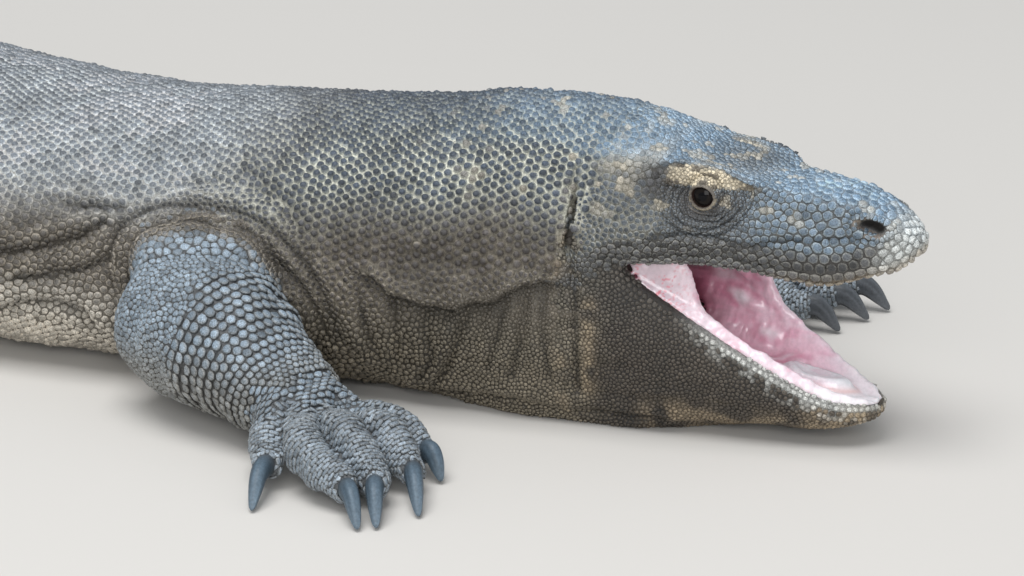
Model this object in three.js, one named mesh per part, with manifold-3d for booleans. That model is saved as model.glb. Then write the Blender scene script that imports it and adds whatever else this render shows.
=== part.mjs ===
// A komodo dragon at life size, resting flat on its belly with its chin on the floor and its mouth wide open.
// Millimetres, +X towards the snout, +Y to the animal's left, +Z up. Points below are measured from the chin's
// resting place; the finished group is moved so that its origin is the middle of its footprint.
import * as THREE from "three";
import { mergeVertices } from "three/addons/utils/BufferGeometryUtils.js";
import Module from "manifold-3d";

const wasm = await Module();
wasm.setup();

// ---- Driving dimensions ----
const GAP = 0.3; // clearance between neighbouring pieces
const BODY_SIDES = 20;
const TAIL_SIDES = 12;
const LIMB_SIDES = 10;
const DIGIT_SIDES = 6;
const CLAW_SIDES = 5;
const HEAD_BACK = -115; // where the head meets the neck
const MOUTH_CORNER = -92;
const EYE = { x: -46, y: 29.5, z: 141, radius: 9 };
const RIGHT = -1;
const LEFT = 1;

// ---- Finishes ----
const finish = (color, roughness, metalness = 0) =>
  new THREE.MeshStandardMaterial({ color, roughness, metalness });
const HIDE = finish(0x6f6d66, 0.75);
const HEAD_HIDE = finish(0x565b5e, 0.7);
const MOUTH_LINING = finish(0xdf9aa2, 0.3);
const CLAW_HORN = finish(0x3f4c5a, 0.35);
const EYE_DARK = finish(0x15120f, 0.08);

// ---- Small tools ----
// A smooth function through [at, value] knots in rising order of at, with no overshoot between them.
function through(knots) {
  const at = knots.map((k) => k[0]);
  const value = knots.map((k) => k[1]);
  const slope = at.slice(1).map((x, i) => (value[i + 1] - value[i]) / (x - at[i]));
  const tangent = at.map((_, i) => {
    if (i === 0) return slope[0];
    if (i === at.length - 1) return slope[i - 1];
    if (slope[i - 1] * slope[i] <= 0) return 0;
    return (2 * slope[i - 1] * slope[i]) / (slope[i - 1] + slope[i]);
  });
  return (x) => {
    if (x <= at[0]) return value[0];
    if (x >= at[at.length - 1]) return value[at.length - 1];
    const i = at.findIndex((a) => a > x) - 1;
    const width = at[i + 1] - at[i];
    const t = (x - at[i]) / width;
    const bend0 = tangent[i] * width;
    const bend1 = tangent[i + 1] * width;
    return (
      value[i] +
      t * bend0 +
      t * t * (3 * (value[i + 1] - value[i]) - 2 * bend0 - bend1) +
      t * t * t * (2 * (value[i] - value[i + 1]) + bend0 + bend1)
    );
  };
}

const vec = (x, y, z) => new THREE.Vector3(x, y, z);
const mirrored = ([x, y, z], side) => vec(x, y * side, z);
const steps = (from, to, count) =>
  Array.from({ length: count + 1 }, (_, i) => from + ((to - from) * i) / count);

// Triangles that fill a flat ring of points, as places in the ring, in the ring's own turning sense.
function fill(ring) {
  const normal = vec(0, 0, 0);
  ring.forEach((p, k) => normal.add(p.clone().cross(ring[(k + 1) % ring.length])));
  normal.normalize();
  const across = ring[1].clone().sub(ring[0]).normalize();
  const along = normal.clone().cross(across);
  const flat = ring.map((p) => new THREE.Vector2(p.dot(across), p.dot(along)));
  const faces = THREE.ShapeUtils.triangulateShape(flat, []);
  const turned = faces.reduce((sum, [a, b, c]) => sum + THREE.ShapeUtils.area([flat[a], flat[b], flat[c]]), 0) < 0;
  return turned ? faces.map(([a, b, c]) => [c, b, a]) : faces;
}

// A closed geometry through rings of equal point counts, with both end rings filled.
function loft(rings) {
  const count = rings[0].length;
  const last = (rings.length - 1) * count;
  const faces = [];
  for (let start = 0; start < last; start += count)
    for (let k = 0; k < count; k++) {
      const a = start + k;
      const b = start + ((k + 1) % count);
      faces.push(a, b, b + count, a, b + count, a + count);
    }
  for (const [a, b, c] of fill(rings[0])) faces.push(c, b, a);
  for (const [a, b, c] of fill(rings[rings.length - 1])) faces.push(last + a, last + b, last + c);
  const geometry = new THREE.BufferGeometry().setFromPoints(rings.flat());
  geometry.setIndex(faces);
  return geometry;
}

// A geometry as a solid that can be joined and cut.
function solid(geometry) {
  const bare = geometry.clone();
  bare.deleteAttribute("normal");
  bare.deleteAttribute("uv");
  const merged = mergeVertices(bare, 1e-3);
  const made = new wasm.Manifold(
    new wasm.Mesh({
      numProp: 3,
      vertProperties: merged.attributes.position.array,
      triVerts: new Uint32Array(merged.index.array),
    }),
  );
  if (made.volume() > 0) return made;
  const faces = merged.index.array;
  for (let i = 0; i < faces.length; i += 3) [faces[i + 1], faces[i + 2]] = [faces[i + 2], faces[i + 1]];
  return new wasm.Manifold(
    new wasm.Mesh({
      numProp: 3,
      vertProperties: merged.attributes.position.array,
      triVerts: new Uint32Array(faces),
    }),
  );
}

// A solid's surface as a geometry, trimmed flat where it would sink below the floor.
function grounded(made) {
  const mesh = made.trimByPlane([0, 0, 1], 0).getMesh();
  const position = new Float32Array(mesh.numVert * 3);
  for (let i = 0; i < mesh.numVert; i++)
    position.set(mesh.vertProperties.subarray(i * mesh.numProp, i * mesh.numProp + 3), i * 3);
  const geometry = new THREE.BufferGeometry();
  geometry.setAttribute("position", new THREE.BufferAttribute(position, 3));
  geometry.setIndex(new THREE.BufferAttribute(mesh.triVerts, 1));
  return geometry;
}

// The largest body of a solid, without loose slivers that a cut has left.
function largest(made) {
  return made.decompose().reduce((best, body) => (body.volume() > best.volume() ? body : best));
}

const dragon = new THREE.Group();
function add(name, made, material) {
  const mesh = new THREE.Mesh(grounded(largest(made)), material);
  mesh.name = name;
  dragon.add(mesh);
}

const ball = (x, y, z, rx, ry, rz, rows = 6) =>
  solid(new THREE.SphereGeometry(1, rows + 3, rows).scale(rx, ry, rz).translate(x, y, z));

// ---- Neck, trunk and tail: one tube along the backbone ----
// The backbone's route over the floor, as distance behind the chin against sideways drift.
const BACKBONE = new THREE.CatmullRomCurve3(
  [
    vec(100, 0, 0),
    vec(-125, 0, 0),
    vec(-400, 0, 0),
    vec(-680, 12, 0),
    vec(-960, 2, 0),
    vec(-1110, -20, 0),
    vec(-1350, -95, 0),
    vec(-1600, -190, 0),
    vec(-1870, -240, 0),
    vec(-2130, -205, 0),
    vec(-2330, -90, 0),
  ],
  false,
  "centripetal",
);
BACKBONE.arcLengthDivisions = 800;
const ROUTE_START = 100; // the route begins this far in front of the chin
const TAIL_TIP = BACKBONE.getLength() - ROUTE_START;

// Against distance behind the chin: half width, height of the back, height of the widest level, and the share of
// the half width that lies flat on the floor.
const BODY_ROWS = [
  [115, 60, 174, 84, 0.8],
  [150, 67, 173, 82, 0.78],
  [190, 76, 167.5, 78, 0.62],
  [230, 84, 160.5, 74, 0.45],
  [270, 92, 154.5, 69, 0.42],
  [335, 104, 146.5, 62, 0.45],
  [400, 115, 138, 58, 0.5],
  [470, 124, 133.5, 56, 0.52],
  [545, 133, 134, 57, 0.55],
  [660, 146, 140, 60, 0.58],
  [780, 149, 143, 61, 0.58],
  [890, 133, 139, 59, 0.52],
  [970, 106, 132, 56, 0.45],
  [1050, 76, 123, 53, 0.42],
  [1150, 57, 110, 50, 0.42],
  [1300, 44, 92, 43, 0.42],
  [1500, 33, 71, 33, 0.42],
  [1700, 25, 54, 25, 0.42],
  [1900, 18, 40, 19, 0.42],
  [2100, 12.5, 29, 14, 0.42],
  [2300, 8, 18, 9, 0.45],
  [2450, 4.5, 10, 5, 0.5],
];
const bodyGuide = (column) => through(BODY_ROWS.map((row) => [row[0], row[column]]));
const [halfWidth, backHeight, widestHeight, flatShare] = [1, 2, 3, 4].map(bodyGuide);
const BACK_ROUNDNESS = 2.2;
const BELLY_ROUNDNESS = 2.6;

// The body's outline across the backbone, as [sideways, height] pairs, swollen by grow.
function bodyOutline(distance, sides, grow = 0) {
  const half = halfWidth(distance) + grow;
  const widest = widestHeight(distance);
  const rise = backHeight(distance) - widest + grow;
  const spread = flatShare(distance) ** BELLY_ROUNDNESS;
  const drop = widest * (1 - spread) ** (-1 / BELLY_ROUNDNESS) + grow;
  return Array.from({ length: sides }, (_, k) => {
    const turn = (2 * Math.PI * k) / sides;
    const power = 2 / (Math.sin(turn) > 0 ? BACK_ROUNDNESS : BELLY_ROUNDNESS);
    const across = Math.sign(Math.cos(turn)) * Math.abs(Math.cos(turn)) ** power;
    const along = Math.sign(Math.sin(turn)) * Math.abs(Math.sin(turn)) ** power;
    return [half * across, widest + along * (along > 0 ? rise : drop)];
  });
}

function bodyRing(distance, sides, grow = 0) {
  const share = (distance + ROUTE_START) / BACKBONE.getLength();
  const centre = BACKBONE.getPointAt(share);
  const ahead = BACKBONE.getTangentAt(share).negate();
  const left = vec(-ahead.y, ahead.x, 0);
  return bodyOutline(distance, sides, grow).map(([across, height]) =>
    centre.clone().addScaledVector(left, across).setZ(height),
  );
}

function bodyLength(from, to, count, sides, grow = 0) {
  return solid(loft(steps(from, to, count).map((distance) => bodyRing(distance, sides, grow))));
}

// Each length of the body: its name, where it starts and ends, and how many bands and sides it has.
const BODY_NODES = [
  ["neck", 115, 300, 6, BODY_SIDES],
  ["chest", 300, 540, 5, BODY_SIDES],
  ["belly", 540, 820, 4, BODY_SIDES],
  ["hips", 820, 1040, 4, BODY_SIDES],
];
const TAIL_LENGTHS = 6;
const tailCuts = steps(1040, TAIL_TIP, TAIL_LENGTHS);
for (let i = 0; i < TAIL_LENGTHS; i++)
  BODY_NODES.push([`tail_${i + 1}`, tailCuts[i], tailCuts[i + 1], 3, i === 0 ? BODY_SIDES : TAIL_SIDES]);
for (const [name, from, to, count, sides] of BODY_NODES)
  add(name, bodyLength(from + GAP / 2, to - GAP / 2, count, sides), HIDE);
const bodyClearance = BODY_NODES.slice(0, 5).map(([, from, to, count, sides]) =>
  bodyLength(from - GAP / 2, to + GAP / 2, count, sides, GAP),
);
const clearOfBody = (made) => bodyClearance.reduce((left, length) => left.subtract(length), made);

// ---- Head ----
// Guide lines of the upper head against distance in front of the chin: each gives half width and height.
const UPPER = {
  crown: through([[-115, 175], [-90, 173], [-70, 166], [-50, 157], [-30, 152], [-8, 148.5], [12, 148], [30, 146],
    [45, 143], [56, 138], [64, 132.5], [69, 127], [71, 123]]),
  browWidth: through([[-115, 37], [-85, 36], [-64, 33], [-45, 31], [-18, 27], [-6, 22], [10, 19.5], [30, 18],
    [45, 16], [56, 13], [64, 9.5], [69, 5.5], [71, 1.5]]),
  browHeight: through([[-115, 157], [-85, 158], [-66, 157.5], [-45, 157.5], [-22, 153], [-8, 147.5], [10, 145.5],
    [30, 143.5], [45, 139.5], [56, 135], [64, 130], [69, 126], [71, 122.5]]),
  cheekWidth: through([[-115, 59.5], [-92, 57], [-70, 52], [-45, 44], [-16, 37.5], [10, 33.5], [30, 30.5],
    [45, 27], [56, 22.5], [64, 16.5], [69, 9.5], [71, 2.5]]),
  cheekHeight: through([[-115, 96], [-92, 114], [-45, 119], [10, 118], [45, 119.5], [64, 121], [71, 121]]),
  lipWidth: through([[-115, 59], [-92, 50], [-70, 46], [-45, 40.5], [-16, 35], [10, 31.5], [30, 28.5],
    [45, 25], [56, 20.5], [64, 14.5], [69, 8], [71, 2]]),
  lipHeight: through([[-115, 84], [-100, 93], [-92, 98.5], [-75, 101.5], [-50, 103], [-22, 102], [5, 99], [20, 98.5],
    [35, 101], [50, 106], [60, 109], [67, 113.5], [71, 118]]),
  palateRise: through([[-115, 0.5], [-104, 1], [-92, 9], [-40, 10], [30, 8], [56, 4], [66, 1.5], [71, 0.5]]),
};
const UPPER_STATIONS = [HEAD_BACK + GAP / 2, -104, -93, -83, -72, -62, -52, -42, -31, -20, -8, 8, 26, 42, 54, 62,
  67, 70, 71];

// A closed outline from the right-hand half, top to bottom, with its mirror image.
function bothSides(half) {
  const inner = half.slice(1, -1);
  return [
    half[0],
    ...inner.map(([y, z]) => [-y, z]),
    half[half.length - 1],
    ...inner.reverse().map(([y, z]) => [y, z]),
  ];
}

// Moves each point of an outline outwards by grow.
function swollen(outline, grow) {
  if (!grow) return outline;
  return outline.map(([y, z], i) => {
    const before = outline[(i + outline.length - 1) % outline.length];
    const after = outline[(i + 1) % outline.length];
    const length = Math.hypot(after[0] - before[0], after[1] - before[1]) || 1;
    return [y + ((after[1] - before[1]) / length) * grow, z - ((after[0] - before[0]) / length) * grow];
  });
}

const between = (a, b, share, bulge = 0) => [
  a[0] + (b[0] - a[0]) * share + bulge * 1,
  a[1] + (b[1] - a[1]) * share,
];

function upperOutline(x, grow = 0) {
  const at = (name) => UPPER[name](x);
  const crown = [0, at("crown")];
  const brow = [at("browWidth"), at("browHeight")];
  const cheek = [at("cheekWidth"), at("cheekHeight")];
  const lip = [at("lipWidth"), at("lipHeight")];
  const roundness = at("browWidth");
  const rim = Math.min(4.5, lip[0] * 0.3);
  const half = [
    crown,
    [brow[0] * 0.4, crown[1] + (brow[1] - crown[1]) * 0.12],
    [brow[0] * 0.75, crown[1] + (brow[1] - crown[1]) * 0.55],
    brow,
    between(brow, cheek, 0.33, roundness * 0.05),
    between(brow, cheek, 0.68, roundness * 0.05),
    cheek,
    between(cheek, lip, 0.5, roundness * 0.04),
    lip,
    [lip[0] - rim, lip[1] - 0.2],
    [lip[0] - rim * 1.9, lip[1] + at("palateRise") * 0.75],
    [0, lip[1] + at("palateRise")],
  ];
  return swollen(bothSides(half), grow);
}

function alongHead(stations, outlineAt) {
  return solid(loft(stations.map((x) => outlineAt(x).map(([y, z]) => vec(x, y, z)))));
}

// Guide lines of the lower jaw and throat. The rim rises into the head behind the corner of the mouth.
const LOWER = {
  rimWidth: through([[-115, 57], [-92, 50], [-50, 42.5], [-16, 35.5], [5, 31], [22, 26], [34, 20.5], [42, 14.5],
    [47, 8.5], [50, 2.5]]),
  rimHeight: through([[-115, 112], [-92, 104], [-84, 92], [-75, 86], [-50, 70], [-16, 49], [5, 37.5], [22, 29.5],
    [34, 26.5], [50, 25]]),
  sideWidth: through([[-115, 60], [-92, 57], [-75, 54], [-50, 48], [-16, 39.5], [5, 33.5], [22, 27.5], [34, 22],
    [42, 16], [47, 10], [50, 3.5]]),
  sideHeight: through([[-115, 84], [-92, 72], [-75, 61], [-50, 49], [-16, 34], [5, 27], [22, 22], [34, 20],
    [50, 20]]),
  keelHeight: through([[-115, -30], [-91, -26], [-70, -12], [-50, -3.5], [-30, 1], [-10, 4.5], [14, 6], [26, 8],
    [36, 10.5], [44, 13.5], [50, 18]]),
  troughHeight: through([[-110, 96], [-106, 84], [-100, 62], [-92, 52], [-70, 40], [-40, 30], [-16, 24], [10, 18],
    [30, 17.5], [40, 20], [46, 22.5], [50, 23.5]]),
};
const LOWER_STATIONS = [HEAD_BACK + GAP / 2, -108, -100, -91, -80, -68, -54, -40, -25, -10, 6, 20, 31, 40, 46.5, 50];
const JAW_WALL = 5;

// The inner side of the jaw's wall, from the bottom of the trough up to the rim.
function troughWall(x) {
  const wall = Math.min(JAW_WALL, LOWER.rimWidth(x) * 0.35);
  const width = LOWER.rimWidth(x) - wall;
  const rim = LOWER.rimHeight(x);
  const trough = Math.min(LOWER.troughHeight(x), rim - 1);
  return [
    [width * 0.55, trough + 0.3],
    [width * 0.88, trough + (rim - trough) * 0.3],
    [width, rim - 0.6],
  ];
}

function lowerOutline(x, grow = 0) {
  const rim = [LOWER.rimWidth(x), LOWER.rimHeight(x)];
  const side = [LOWER.sideWidth(x), LOWER.sideHeight(x)];
  const keel = LOWER.keelHeight(x);
  const wall = troughWall(x);
  const half = [
    [0, wall[0][1] - 0.3],
    ...wall,
    rim,
    side,
    [side[0] * 0.94, side[1] * 0.6 + keel * 0.4],
    [side[0] * 0.78, side[1] * 0.28 + keel * 0.72],
    [side[0] * 0.48, side[1] * 0.07 + keel * 0.93],
    [0, keel],
  ];
  return swollen(bothSides(half), grow);
}

const headWhole = alongHead(UPPER_STATIONS, (x) => upperOutline(x));
const headClearance = alongHead([HEAD_BACK - 1, ...UPPER_STATIONS], (x) => upperOutline(x, GAP));

const EYE_SOCKET = { x: EYE.x, y: 45, z: EYE.z, rx: 17, ry: 9.5, rz: 11 };
const NOSTRIL = { x: 47, y: 21, z: 131.5, rx: 6.5, ry: 4.5, rz: 3 };
const EAR = { x: -108, y: 61, z: 121, rx: 3, ry: 8, rz: 18 };
let head = headWhole;
for (const side of [RIGHT, LEFT]) {
  for (const hollow of [EYE_SOCKET, NOSTRIL, EAR])
    head = head.subtract(
      ball(hollow.x, hollow.y * side, hollow.z, hollow.rx, hollow.ry, hollow.rz, 3),
    );
  const eyeball = (grow) =>
    ball(EYE.x, EYE.y * side, EYE.z, EYE.radius + grow, EYE.radius + grow, EYE.radius + grow);
  head = head.subtract(eyeball(GAP));
  add(side === RIGHT ? "eye_r" : "eye_l", eyeball(0), EYE_DARK);
}
add("head", head, HEAD_HIDE);

const jaw = alongHead(LOWER_STATIONS, (x) => lowerOutline(x)).subtract(headClearance);
add("lower_jaw", jaw, HIDE);

// ---- Mouth lining ----
const PAD_HEIGHT = through([[-104, 72], [-97, 60], [-88, 54], [-70, 47], [-40, 38], [-16, 32], [5, 29], [20, 27.5],
  [36, 25.5], [47, 24]]);
const PAD_CLEARANCE = 0.8;
const PAD_STATIONS = [-100, -91, -80, -68, -54, -40, -25, -10, 6, 20, 31, 40];

// The pink pad in the trough of the lower jaw: a gum along each side, and the tongue's sheath in the middle.
function padOutline(x) {
  const wall = troughWall(x);
  const wallAt = (height) => {
    const [low, high] = height < wall[1][1] ? wall : wall.slice(1);
    return low[0] + ((high[0] - low[0]) * (height - low[1])) / (high[1] - low[1]);
  };
  const trough = wall[0][1];
  const top = Math.max(PAD_HEIGHT(x), trough + 2.2);
  const gum = Math.max(Math.min(LOWER.rimHeight(x) - 1.5, UPPER.lipHeight(x) - 8), top);
  const inside = wallAt(gum) - PAD_CLEARANCE;
  const low = trough + (wall[1][1] - trough) * 0.9;
  const half = [
    [0, top + 1.5],
    [inside * 0.3, top + 0.6],
    [inside * 0.52, top - 0.5],
    [inside * 0.7, top + (gum - top) * 0.4],
    [inside * 0.86, top + (gum - top) * 0.9],
    [inside, gum],
    [wallAt(low) - PAD_CLEARANCE, low],
    [wall[0][0] * 0.8, trough + PAD_CLEARANCE],
    [0, trough + PAD_CLEARANCE],
  ];
  return bothSides(half);
}
const jawClearance = alongHead(LOWER_STATIONS, (x) => lowerOutline(x, GAP));
add("mouth_floor", alongHead(PAD_STATIONS, padOutline), MOUTH_LINING);

const PALATE_STATIONS = [-93, -83, -72, -52, -31, -8, 8, 26, 42, 54];
const PALATE_THICKNESS = 3;
function palateOutline(x) {
  const lip = [UPPER.lipWidth(x), UPPER.lipHeight(x)];
  const rim = Math.min(4.5, lip[0] * 0.3);
  const rise = UPPER.palateRise(x);
  const top = lip[1] + rise - GAP - 0.3;
  const inside = lip[0] - rim * 1.9 - 0.8;
  const half = [
    [0, top],
    [inside * 0.94, lip[1] + rise * 0.75 - GAP - 0.5],
    [inside * 0.98, lip[1] + 0.4],
    [inside * 0.84, lip[1] - 0.4],
    [inside * 0.62, top - PALATE_THICKNESS + 0.6],
    [0, top - PALATE_THICKNESS],
  ];
  return bothSides(half);
}
add("palate", alongHead(PALATE_STATIONS, palateOutline), MOUTH_LINING);

// The stretched web of each mouth corner, from the upper lip down to the gum, with a hollowed free edge in front.
const WEB_THICKNESS = 2.4;
const WEB_STATIONS = 6;
function cheekWeb(side) {
  const rings = steps(0, 1, WEB_STATIONS).map((share) => {
    const topX = -89 + (89 - 51) * share;
    const lowX = -89 + (89 - 40) * share;
    const sag = 5 * Math.sin(Math.PI * 0.5) * share;
    const top = vec(topX, UPPER.lipWidth(topX) - 5, UPPER.lipHeight(topX) - GAP - 0.5);
    const low = vec(lowX, LOWER.rimWidth(lowX) - 5.6, LOWER.rimHeight(lowX) + GAP + 0.4);
    const middle = top.clone().lerp(low, 0.5).add(vec(-sag, -1, 0));
    const row = [top, middle, low];
    const inner = row.map((p) => p.clone().setY(p.y - WEB_THICKNESS)).reverse();
    return [...row, ...inner].map((p) => p.setY(p.y * side));
  });
  return solid(loft(rings));
}
for (const side of [RIGHT, LEFT])
  add(side === RIGHT ? "cheek_web_r" : "cheek_web_l", cheekWeb(side).subtract(jawClearance), MOUTH_LINING);

// ---- Limbs ----
// A tube along a path, with half width and half height along its length, kept upright.
function limbTube(points, widths, heights, count, sides, grow = 0, facing = null) {
  const path = new THREE.CatmullRomCurve3(points, false, "centripetal");
  const wide = through(widths);
  const high = through(heights);
  const rings = steps(0, 1, count).map((share) => {
    const ahead = share === 0 && facing ? facing.clone() : path.getTangentAt(share);
    const beyond = share === 0 ? -grow : share === 1 ? grow : 0;
    const centre = path.getPointAt(share).addScaledVector(ahead, beyond);
    const across = vec(0, 0, 1).cross(ahead).normalize();
    const upward = ahead.clone().cross(across);
    return Array.from({ length: sides }, (_, k) => {
      const turn = (2 * Math.PI * k) / sides;
      return centre
        .clone()
        .addScaledVector(across, (wide(share) + grow) * Math.cos(turn))
        .addScaledVector(upward, (high(share) + grow) * Math.sin(turn));
    });
  });
  return solid(loft(rings));
}

const UPPER_LIMB_SHAPE = {
  arm: { width: [[0, 42], [0.45, 45], [0.8, 42], [0.93, 33], [1, 20]],
    height: [[0, 34], [0.45, 42], [0.8, 42], [0.93, 34], [1, 20]] },
  leg: { width: [[0, 62], [0.4, 60], [0.75, 48], [0.92, 36], [1, 20]],
    height: [[0, 56], [0.4, 54], [0.75, 46], [0.92, 35], [1, 20]] },
};
const LOWER_LIMB_SHAPE = {
  arm: { width: [[0, 30], [0.12, 41], [0.35, 45], [0.6, 40], [0.85, 32], [1, 29]],
    height: [[0, 28], [0.12, 39], [0.35, 43], [0.6, 38], [0.85, 28], [1, 22]] },
  leg: { width: [[0, 26], [0.12, 38], [0.3, 43], [0.6, 36], [0.85, 28], [1, 29]],
    height: [[0, 26], [0.12, 36], [0.3, 40], [0.6, 32], [0.85, 24], [1, 20]] },
};
const DIGIT_RADIUS = { arm: [[0, 13], [0.4, 12.5], [0.8, 11.5], [1, 9]], leg: [[0, 13.5], [0.4, 12.5], [0.8, 11.5], [1, 9]] };

// Each limb: joints of the upper and lower limb, the palm's end, and digits from the inner one to the outer one.
// A digit has its root, its raised knuckle, its end and the tip of its claw. y is measured away from the middle.
const LIMBS = [
  {
    name: "arm_r", kind: "arm", side: RIGHT,
    upper: [[-306, 60, 74], [-332, 92, 62], [-354, 112, 50]],
    lower: [[-352, 107, 50], [-306, 124, 48], [-236, 153, 28]],
    palm: [[-248, 150, 28], [-226, 162, 25], [-200, 175, 20]],
    digits: [
      [[-206, 150, 22], [-180, 149, 22], [-160, 152, 14], [-143, 162, 2]],
      [[-202, 158, 23], [-174, 168, 25], [-154, 178, 14], [-132, 211, 2]],
      [[-208, 168, 24], [-186, 186, 27], [-163, 204, 14], [-145, 235, 2]],
      [[-221, 170, 24], [-208, 200, 25], [-174, 217, 14], [-153, 241, 2]],
      [[-232, 168, 22], [-235, 184, 22], [-227, 204, 14], [-216, 243, 2]],
    ],
  },
  {
    name: "arm_l", kind: "arm", side: LEFT,
    upper: [[-250, 46, 80], [-282, 88, 70], [-312, 132, 56]],
    lower: [[-302, 118, 52], [-262, 134, 47], [-160, 150, 27]],
    palm: [[-172, 148, 29], [-146, 152, 26], [-118, 158, 20]],
    digits: [
      [[-128, 140, 22], [-104, 128, 22], [-84, 120, 15], [-58, 112, 2]],
      [[-122, 150, 24], [-92, 147, 25], [-66, 145, 15], [-37, 149, 2]],
      [[-120, 158, 25], [-88, 163, 27], [-60, 168, 15], [-29, 175, 2]],
      [[-124, 166, 24], [-90, 180, 26], [-56, 190, 15], [-24, 196, 2]],
      [[-138, 170, 22], [-122, 190, 22], [-104, 206, 15], [-78, 222, 2]],
    ],
  },
  {
    name: "leg_r", kind: "leg", side: RIGHT,
    upper: [[-960, 55, 78], [-915, 122, 76], [-868, 192, 68]],
    lower: [[-880, 176, 62], [-915, 208, 54], [-992, 240, 28]],
    palm: [[-994, 238, 28], [-966, 252, 24], [-932, 262, 19]],
    digits: [
      [[-944, 242, 20], [-918, 236, 21], [-898, 232, 14], [-871, 231, 2]],
      [[-936, 254, 23], [-896, 256, 24], [-864, 259, 14], [-836, 264, 2]],
      [[-936, 263, 24], [-890, 274, 26], [-850, 284, 14], [-822, 294, 2]],
      [[-940, 270, 23], [-894, 291, 26], [-852, 312, 14], [-825, 328, 2]],
      [[-962, 268, 21], [-940, 294, 22], [-922, 314, 14], [-900, 332, 2]],
    ],
  },
  {
    name: "leg_l", kind: "leg", side: LEFT,
    upper: [[-960, 60, 78], [-926, 130, 76], [-888, 200, 68]],
    lower: [[-898, 186, 62], [-938, 216, 54], [-1020, 240, 28]],
    palm: [[-1022, 238, 28], [-996, 256, 24], [-966, 272, 19]],
    digits: [
      [[-974, 252, 20], [-949, 252, 21], [-928, 252, 14], [-901, 254, 2]],
      [[-970, 264, 23], [-931, 274, 24], [-900, 284, 14], [-873, 294, 2]],
      [[-971, 273, 24], [-929, 292, 26], [-892, 309, 14], [-866, 324, 2]],
      [[-977, 279, 23], [-937, 306, 26], [-900, 333, 14], [-876, 353, 2]],
      [[-998, 274, 21], [-981, 300, 22], [-966, 322, 14], [-947, 342, 2]],
    ],
  },
];
const PALM_SHAPE = { width: [[0, 22], [0.2, 27], [0.6, 33], [1, 27]], height: [[0, 17], [0.2, 21], [0.6, 19], [1, 12]] };

// A claw: a hooked horn from the digit's flat end to its tip on the floor.
const CLAW_WIDTH = [[0, 5.2], [0.35, 4.9], [0.7, 3.3], [1, 0.7]];
const CLAW_HEIGHT = [[0, 6.8], [0.35, 6.2], [0.7, 3.8], [1, 0.8]];
function claw(end, tip, ahead) {
  const start = end.clone().addScaledVector(ahead, GAP);
  const arch = start.clone().lerp(tip, 0.45).add(vec(0, 0, 6.5));
  return limbTube([start, arch, tip], CLAW_WIDTH, CLAW_HEIGHT, 4, CLAW_SIDES, 0, ahead);
}

for (const limb of LIMBS) {
  const place = (points) => points.map((p) => mirrored(p, limb.side));
  const upperShape = UPPER_LIMB_SHAPE[limb.kind];
  const lowerShape = LOWER_LIMB_SHAPE[limb.kind];
  const upperTube = (grow) =>
    limbTube(place(limb.upper), upperShape.width, upperShape.height, 5, LIMB_SIDES, grow);
  const lowerTube = (grow) =>
    limbTube(place(limb.lower), lowerShape.width, lowerShape.height, 6, LIMB_SIDES, grow);
  const [limbPart, foot] = limb.kind === "arm" ? ["upper_arm", "hand"] : ["thigh", "foot"];
  const lowerName = limb.kind === "arm" ? "forearm" : "shin";
  const suffix = limb.side === RIGHT ? "r" : "l";

  const upper = clearOfBody(upperTube(0));
  add(`${limbPart}_${suffix}`, upper, HIDE);
  const lower = clearOfBody(lowerTube(0).subtract(upperTube(GAP)));
  add(`${lowerName}_${suffix}`, lower, HIDE);

  let hand = limbTube(place(limb.palm), PALM_SHAPE.width, PALM_SHAPE.height, 4, LIMB_SIDES);
  const radius = DIGIT_RADIUS[limb.kind];
  limb.digits.forEach((points, i) => {
    const [root, knuckle, end, tip] = place(points);
    const digit = [root, knuckle, end];
    hand = hand.add(limbTube(digit, radius, radius, 3, DIGIT_SIDES));
    const ahead = new THREE.CatmullRomCurve3(digit, false, "centripetal").getTangentAt(1);
    add(`claw_${limb.name}_${i + 1}`, claw(end, tip, ahead), CLAW_HORN);
  });
  add(`${foot}_${suffix}`, clearOfBody(hand.subtract(lowerTube(GAP))), HIDE);
}

// ---- Placing ----
const footprint = new THREE.Box3().setFromObject(dragon);
const middle = footprint.getCenter(vec(0, 0, 0));
dragon.position.set(-middle.x, -middle.y, -footprint.min.z);

const part = new THREE.Group();
part.add(dragon);
export default part;
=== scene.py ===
"""A Komodo dragon at life size, resting on its belly with its chin on the floor and its mouth wide open.

One skin covers the neck, trunk, tail, limbs, head and lower jaw. Rows of small solid scales lie over it. The eyes,
the claws and the lining of the mouth are pieces of their own. Shapes are worked out in millimetres from the chin's
resting place, +X towards the snout, +Y to the animal's left and +Z up, and are moved into the frame as they are made.
"""

import logging
import math
from collections.abc import Callable
from dataclasses import dataclass, field, fields
from enum import Enum
from itertools import product

import bpy
import numpy as np
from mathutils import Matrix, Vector
from mathutils.bvhtree import BVHTree
from mathutils.kdtree import KDTree


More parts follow.
